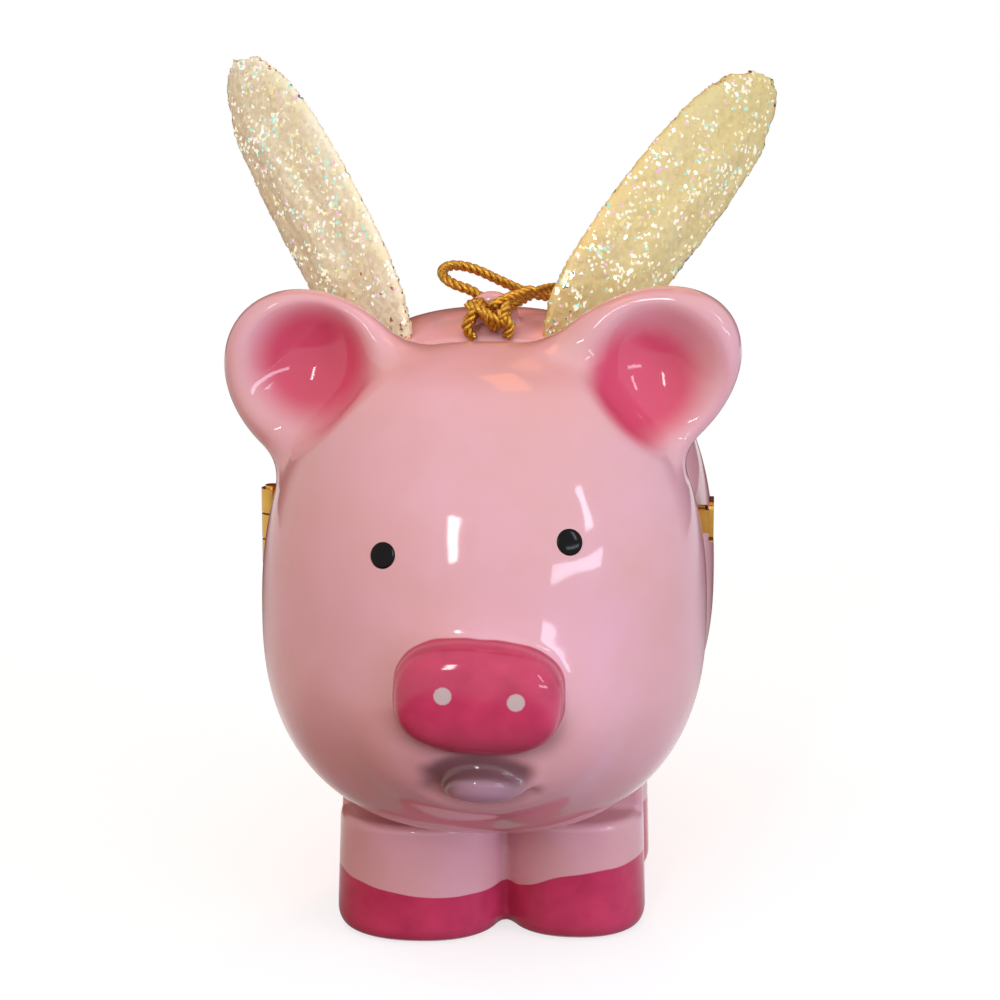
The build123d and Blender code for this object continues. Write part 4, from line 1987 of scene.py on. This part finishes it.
@dataclass
class CordKnot:
    """Overhand knot of the same cord, drawn tight, with two short tails."""

    seam: float
    centre: tuple[float, float, float] = (-0.1, 2.1, 65.0)
    radius: float = 0.55
    yarns: int = 3
    lay_length: float = 2.2
    strand_turn: float = 0.7
    wrap_steps: int = 14
    wrap_drift: float = 0.5
    wraps: tuple[tuple[float, float, float], ...] = (
        (-1.75, 1.2, 24.0),
        (-0.2, 1.45, -28.0),
        (1.35, 1.15, 30.0),
    )
    strands: tuple[tuple[tuple[float, float, float], ...], ...] = (
        ((-2.2, -0.6, 1.1), (-0.9, -1.5, 0.9), (0.5, -1.5, -0.3), (1.9, -0.8, -1.0)),
        ((-1.6, -0.9, 0.2), (-2.3, -1.1, -0.7), (-2.2, -1.0, -1.7), (-1.5, -0.9, -2.3)),
        ((0.9, -1.0, 0.4), (1.9, -1.1, -0.3), (2.3, -1.1, -1.2), (1.8, -1.0, -2.1)),
        ((0.3, -0.6, 0.9), (1.5, 0.2, 1.6), (2.9, 1.2, 1.9), (4.2, 2.5, 2.2)),
    )

    def loops(self) -> list[list[Vector]]:
        """Lines of the knot: leaning wraps, the strand that crosses them, and the ends.

        Returns:
            Guide points of each line, in metres.
        """
        middle = Vector(self.centre) + Vector((0, self.seam, 0))
        lines = []
        for across, reach, lean in self.wraps:
            turn = turned(lean, "Y")
            wrap = []
            for step in range(self.wrap_steps + 1):
                angle = math.radians(step * 360 / (self.wrap_steps - 1))
                drift = self.wrap_drift * (step / self.wrap_steps - 0.5)
                spot = Vector((drift, reach * math.cos(angle), reach * math.sin(angle)))
                wrap.append((middle + Vector((across, 0, 0)) + turn @ spot) * MM)
            lines.append(wrap)
        for strand in self.strands:
            lines.append([(middle + Vector(spot)) * MM for spot in strand])
        return lines

    def build(self, finish: bpy.types.Material) -> bpy.types.Object:
        """Makes the knot in place of its plain CAD form.

        Args:
            finish: Metallic yarn.

        Returns:
            The knot.
        """
        work = bmesh.new()
        for index, guides in enumerate(self.loops()):
            line = smooth_line(guides, 8)
            strand = twisted_yarns(
                "strand", line, self.radius * MM, self.yarns, self.lay_length * MM, index * self.strand_turn
            )
            work.from_mesh(strand)
            bpy.data.meshes.remove(strand)
        mesh = finished_mesh(work, "cord_knot")
        mesh.materials.append(finish)
        piece = shown_object("gold_cord_knot", mesh)
        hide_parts("cord_knot")
        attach(piece, "body")
        return piece


@dataclass
class BrassWork:
    """Bezels, hinge and clasp: their CAD forms with a brass finish."""

    nodes: tuple[str, ...] = (
        "head_bezel",
        "body_bezel",
        "hinge_head_leaf",
        "hinge_body_leaf_upper",
        "hinge_body_leaf_lower",
        "hinge_pin",
        "clasp_latch",
        "clasp_catch",
    )

    def dress(self, finish: bpy.types.Material) -> None:
        """Gives every brass node its finish.

        Args:
            finish: Polished brass.
        """
        for name in self.nodes:
            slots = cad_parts[name].data.materials
            slots.clear()
            slots.append(finish)
            log.info("dressed %s", name)


@dataclass
class Lamp:
    """One soft box, aimed at the figure from a bearing and a height."""

    name: str
    azimuth: float
    elevation: float
    distance: float
    width: float
    height: float
    watts: float
    colour: str = "#FFFFFF"
    mirrored: bool = True

    def build(self, aim: Vector) -> None:
        """Sets the lamp up, facing its aim, seen in reflections only if it is mirrored.

        Args:
            aim: Place that it lights.
        """
        light = bpy.data.lights.new(self.name, "AREA")
        light.shape = "RECTANGLE"
        light.size = self.width
        light.size_y = self.height
        light.energy = self.watts
        light.color = linear(self.colour)[:3]
        lamp = bpy.data.objects.new(self.name, light)
        away = direction_at(self.azimuth, self.elevation)
        lamp.location = aim + away * self.distance
        lamp.rotation_euler = away.to_track_quat("Z", "Y").to_euler()
        lamp.visible_camera = False
        lamp.visible_glossy = self.mirrored
        bpy.context.scene.collection.objects.link(lamp)


@dataclass
class Card:
    """Round matt card with a soft edge, out of the picture, that shows only in reflections."""

    name: str
    place: tuple[float, float, float]
    radius: float
    colour: str
    flat: bool = False
    solid_share: float = 0.45

    def build(self, aim: Vector) -> None:
        """Sets the card up, facing its aim, or flat on the floor.

        Args:
            aim: Place that it faces.
        """
        centre = Vector(self.place) * MM
        facing = Vector((0, 0, 1)) if self.flat else aim - centre
        turn = facing.to_track_quat("Z", "Y").to_matrix().to_4x4()
        work = bmesh.new()
        set_up = Matrix.Translation(centre) @ turn
        bmesh.ops.create_circle(
            work, cap_ends=True, segments=64, radius=self.radius * MM, matrix=set_up
        )
        mesh = finished_mesh(work, self.name)
        made = new_material("card_" + self.name)
        place = add_node(made, "ShaderNodeTexCoord").outputs["Object"]
        away = add_node(
            made, "ShaderNodeVectorMath", {0: place, 1: tuple(centre)}, operation="DISTANCE"
        ).outputs["Value"]
        open_share = add_node(
            made,
            "ShaderNodeMapRange",
            {
                "Value": away,
                "From Min": self.solid_share * self.radius * MM,
                "From Max": self.radius * MM,
            },
            interpolation_type="SMOOTHSTEP",
        ).outputs["Result"]
        matt = add_node(made, "ShaderNodeBsdfDiffuse", {"Color": linear(self.colour)})
        clear = add_node(made, "ShaderNodeBsdfTransparent")
        both = add_node(made, "ShaderNodeMixShader", {0: open_share, 1: matt.outputs[0], 2: clear.outputs[0]})
        mesh.materials.append(keep_surface(made, both.outputs[0]))
        card = shown_object(self.name, mesh)
        card.visible_camera = False
        card.visible_diffuse = False
        card.visible_shadow = False


@dataclass
class Studio:
    """Camera at the photograph's angle, pale floor, white surroundings and soft lamps."""

    azimuth: float = 4.0
    elevation: float = 13.0
    distance: float = 0.330
    target: Vector = field(default_factory=lambda: Vector((0, 1.2, 45.0)) * MM)
    picture_pixels: float = 1000.0
    pixels_per_mm: float = 9.6
    sensor: float = 36.0
    sky_low: float = 0.12
    sky_high: float = 0.78
    dim_tint: str = "#D08E62"
    bright_tint: str = "#E2F2FF"
    bright_side: Vector = field(default_factory=lambda: Vector((0.45, -0.72, 0.4)))
    floor_radius: float = 0.7
    floor_near: float = 0.07
    floor_far: float = 0.2
    floor_seen: str = "#B6B6B6"
    floor_bounce: str = "#9C847E"
    floor_glow: float = 0.7
    shift_across: float = 0.008

    def frame_width(self) -> float:
        """Width that the picture covers at the target, in metres."""
        return self.picture_pixels / self.pixels_per_mm * MM

    def camera(self) -> None:
        """Sets the camera up."""
        lens = bpy.data.cameras.new("camera")
        lens.sensor_width = self.sensor
        lens.lens = self.sensor * self.distance / self.frame_width()
        lens.shift_x = self.shift_across
        lens.clip_start = 0.01
        eye = bpy.data.objects.new("camera", lens)
        away = direction_at(self.azimuth, self.elevation)
        eye.location = self.target + away * self.distance
        eye.rotation_euler = away.to_track_quat("Z", "Y").to_euler()
        bpy.context.scene.collection.objects.link(eye)
        bpy.context.scene.camera = eye

    def surroundings(self) -> None:
        """White to the eye and in reflections, softer as a light."""
        world = bpy.data.worlds.new("surroundings")
        bpy.context.scene.world = world
        world.use_nodes = True
        world.node_tree.nodes.clear()
        white = add_node(world, "ShaderNodeBackground", {"Color": linear("#FFFFFF"), "Strength": 1.0})
        bearing = add_node(world, "ShaderNodeTexCoord").outputs["Generated"]
        towards = add_node(
            world,
            "ShaderNodeVectorMath",
            {0: bearing, 1: self.bright_side.normalized()},
            operation="DOT_PRODUCT",
        ).outputs["Value"]
        share = add_node(world, "ShaderNodeMapRange", {"Value": towards, "From Min": -1.0}).outputs["Result"]
        tint = mixed(world, share, linear(self.dim_tint), linear(self.bright_tint))
        level = add_node(
            world, "ShaderNodeMapRange", {"Value": share, "To Min": self.sky_low, "To Max": self.sky_high}
        ).outputs["Result"]
        soft = add_node(world, "ShaderNodeBackground", {"Color": tint, "Strength": level})
        both = add_node(
            world,
            "ShaderNodeMixShader",
            {0: looked_at(world), 1: soft.outputs[0], 2: white.outputs[0]},
        )
        add_node(world, "ShaderNodeOutputWorld", {"Surface": both.outputs[0]})

    def floor(self) -> None:
        """Pale floor that keeps the figure's shadow, and turns to plain white further out."""
        work = bmesh.new()
        bmesh.ops.create_circle(work, cap_ends=True, segments=96, radius=self.floor_radius)
        mesh = finished_mesh(work, "floor")
        made = new_material("paper_white_matt")
        place = add_node(made, "ShaderNodeTexCoord").outputs["Object"]
        away = add_node(made, "ShaderNodeVectorMath", {0: place}, operation="LENGTH").outputs["Value"]
        far = add_node(
            made,
            "ShaderNodeMapRange",
            {"Value": away, "From Min": self.floor_near, "From Max": self.floor_far},
            interpolation_type="SMOOTHSTEP",
        ).outputs["Result"]
        matt = add_node(made, "ShaderNodeBsdfDiffuse", {"Color": linear(self.floor_seen)})
        glow = add_node(
            made, "ShaderNodeEmission", {"Color": linear("#FFFFFF"), "Strength": self.floor_glow}
        )
        near = add_node(made, "ShaderNodeAddShader", {0: matt.outputs[0], 1: glow.outputs[0]})
        white = add_node(made, "ShaderNodeEmission", {"Color": linear("#FFFFFF"), "Strength": 1.0})
        seen = add_node(made, "ShaderNodeMixShader", {0: far, 1: near.outputs[0], 2: white.outputs[0]})
        plain = add_node(made, "ShaderNodeBsdfDiffuse", {"Color": linear(self.floor_bounce)})
        both = add_node(
            made, "ShaderNodeMixShader", {0: looked_at(made), 1: plain.outputs[0], 2: seen.outputs[0]}
        )
        keep_surface(made, both.outputs[0])
        mesh.materials.append(made)
        ground = shown_object("floor", mesh)

    def lamps(self) -> None:
        """Soft boxes whose reflections are the highlights on the glaze."""
        for lamp in (
            Lamp("ceiling_panel", -10, 52, 0.9, 0.5, 0.5, 1.3, mirrored=False),
            Lamp("left_fill", -48, 32, 0.9, 0.4, 0.4, 0.32, "#FFDCB8", mirrored=False),
            Lamp("left_top", -60, 56, 0.15, 0.04, 0.04, 0.022, "#F8F4F4", mirrored=False),
            Lamp("low_panel", 48, -9, 0.26, 0.2, 0.05, 0.36, "#C0CCFF", mirrored=False),
            Lamp("lamp_glow", -62, -8, 0.14, 0.05, 0.05, 0.012, "#FF9050", mirrored=False),
            Lamp("leg_glow", 20, -12, 0.2, 0.05, 0.02, 0.016, "#FFE0EC", mirrored=False),
            Lamp("window_tall", -9, 26, 0.8, 0.045, 0.24, 0.8),
            Lamp("window_wide", 47, 9.5, 0.8, 0.4, 0.07, 0.85, "#E0ECFF"),
            Lamp("window_slim", 55, 30, 0.8, 0.06, 0.26, 0.6, "#E8F0FF"),
            Lamp("warm_glow", 25, 79, 0.046, 0.008, 0.012, 0.001, "#FFA048"),
            Lamp("warm_back", 172, 50, 0.6, 0.07, 0.12, 0.8, "#FFA870"),
        ):
            lamp.build(self.target)
        for card in (
            Card("left_card", (-170, 470, 60), 430, "#7A4636"),
            Card("right_card", (170, 470, 60), 430, "#54403F"),
            Card("top_card", (0, 300, 440), 330, "#B06238"),
            Card("back_card", (0, 215, 0.5), 190, "#6E4A44", flat=True),
            Card("front_card", (-15, -85, 0.5), 125, "#5A3A32", flat=True),
        ):
            card.build(self.target)

    def build(self) -> None:
        """Sets the whole studio up."""
        self.camera()
        self.surroundings()
        self.floor()
        self.lamps()
        view = bpy.context.scene.view_settings
        view.view_transform = "Standard"


def seam_plane() -> float:
    """Middle of the gap between the two bezels along Y, in millimetres."""
    return (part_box("head_bezel")[1].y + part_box("body_bezel")[0].y) / 2 / MM


def main() -> None:
    """Builds the studio and every piece, and logs what it made."""
    logging.basicConfig(level=logging.INFO, format="%(message)s")
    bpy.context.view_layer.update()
    studio = Studio()
    studio.build()
    seam = seam_plane()
    line = Outline(seam)
    yarn = GoldYarn().build()
    knot = CordKnot(seam).build(yarn)
    log.info("made %s", knot.name)
    cord = HangingCord(seam).build(yarn, knot)
    log.info("made %s", cord.name)
    glazes = [PinkGlaze().build(), WhiteGlaze().build()]
    head = PorcelainHead(line)
    pieces = [head.build(glazes), PorcelainBody(line).build(glazes)]
    enamel = BlackEnamel().build()
    for name, across, height in (("enamel_eye_left", -8.4, 46.2), ("enamel_eye_right", 9.4, 47.6)):
        pieces.append(EnamelEye(head, name, across, height).build(enamel))
    glitter = Glitter().build()
    wings = (
        GlitterWing(line, "left_wing", -1, 11.8, 39.2),
        GlitterWing(line, "right_wing", 1, 9.4, 46.2, axis_inward=1.5),
    )
    pieces.extend(wing.build(glitter) for wing in wings)
    for piece in pieces:
        log.info("made %s with %d faces", piece.name, len(piece.data.polygons))
    BrassWork().dress(PolishedBrass().build())
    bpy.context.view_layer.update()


if __name__ == "__main__":
    main()
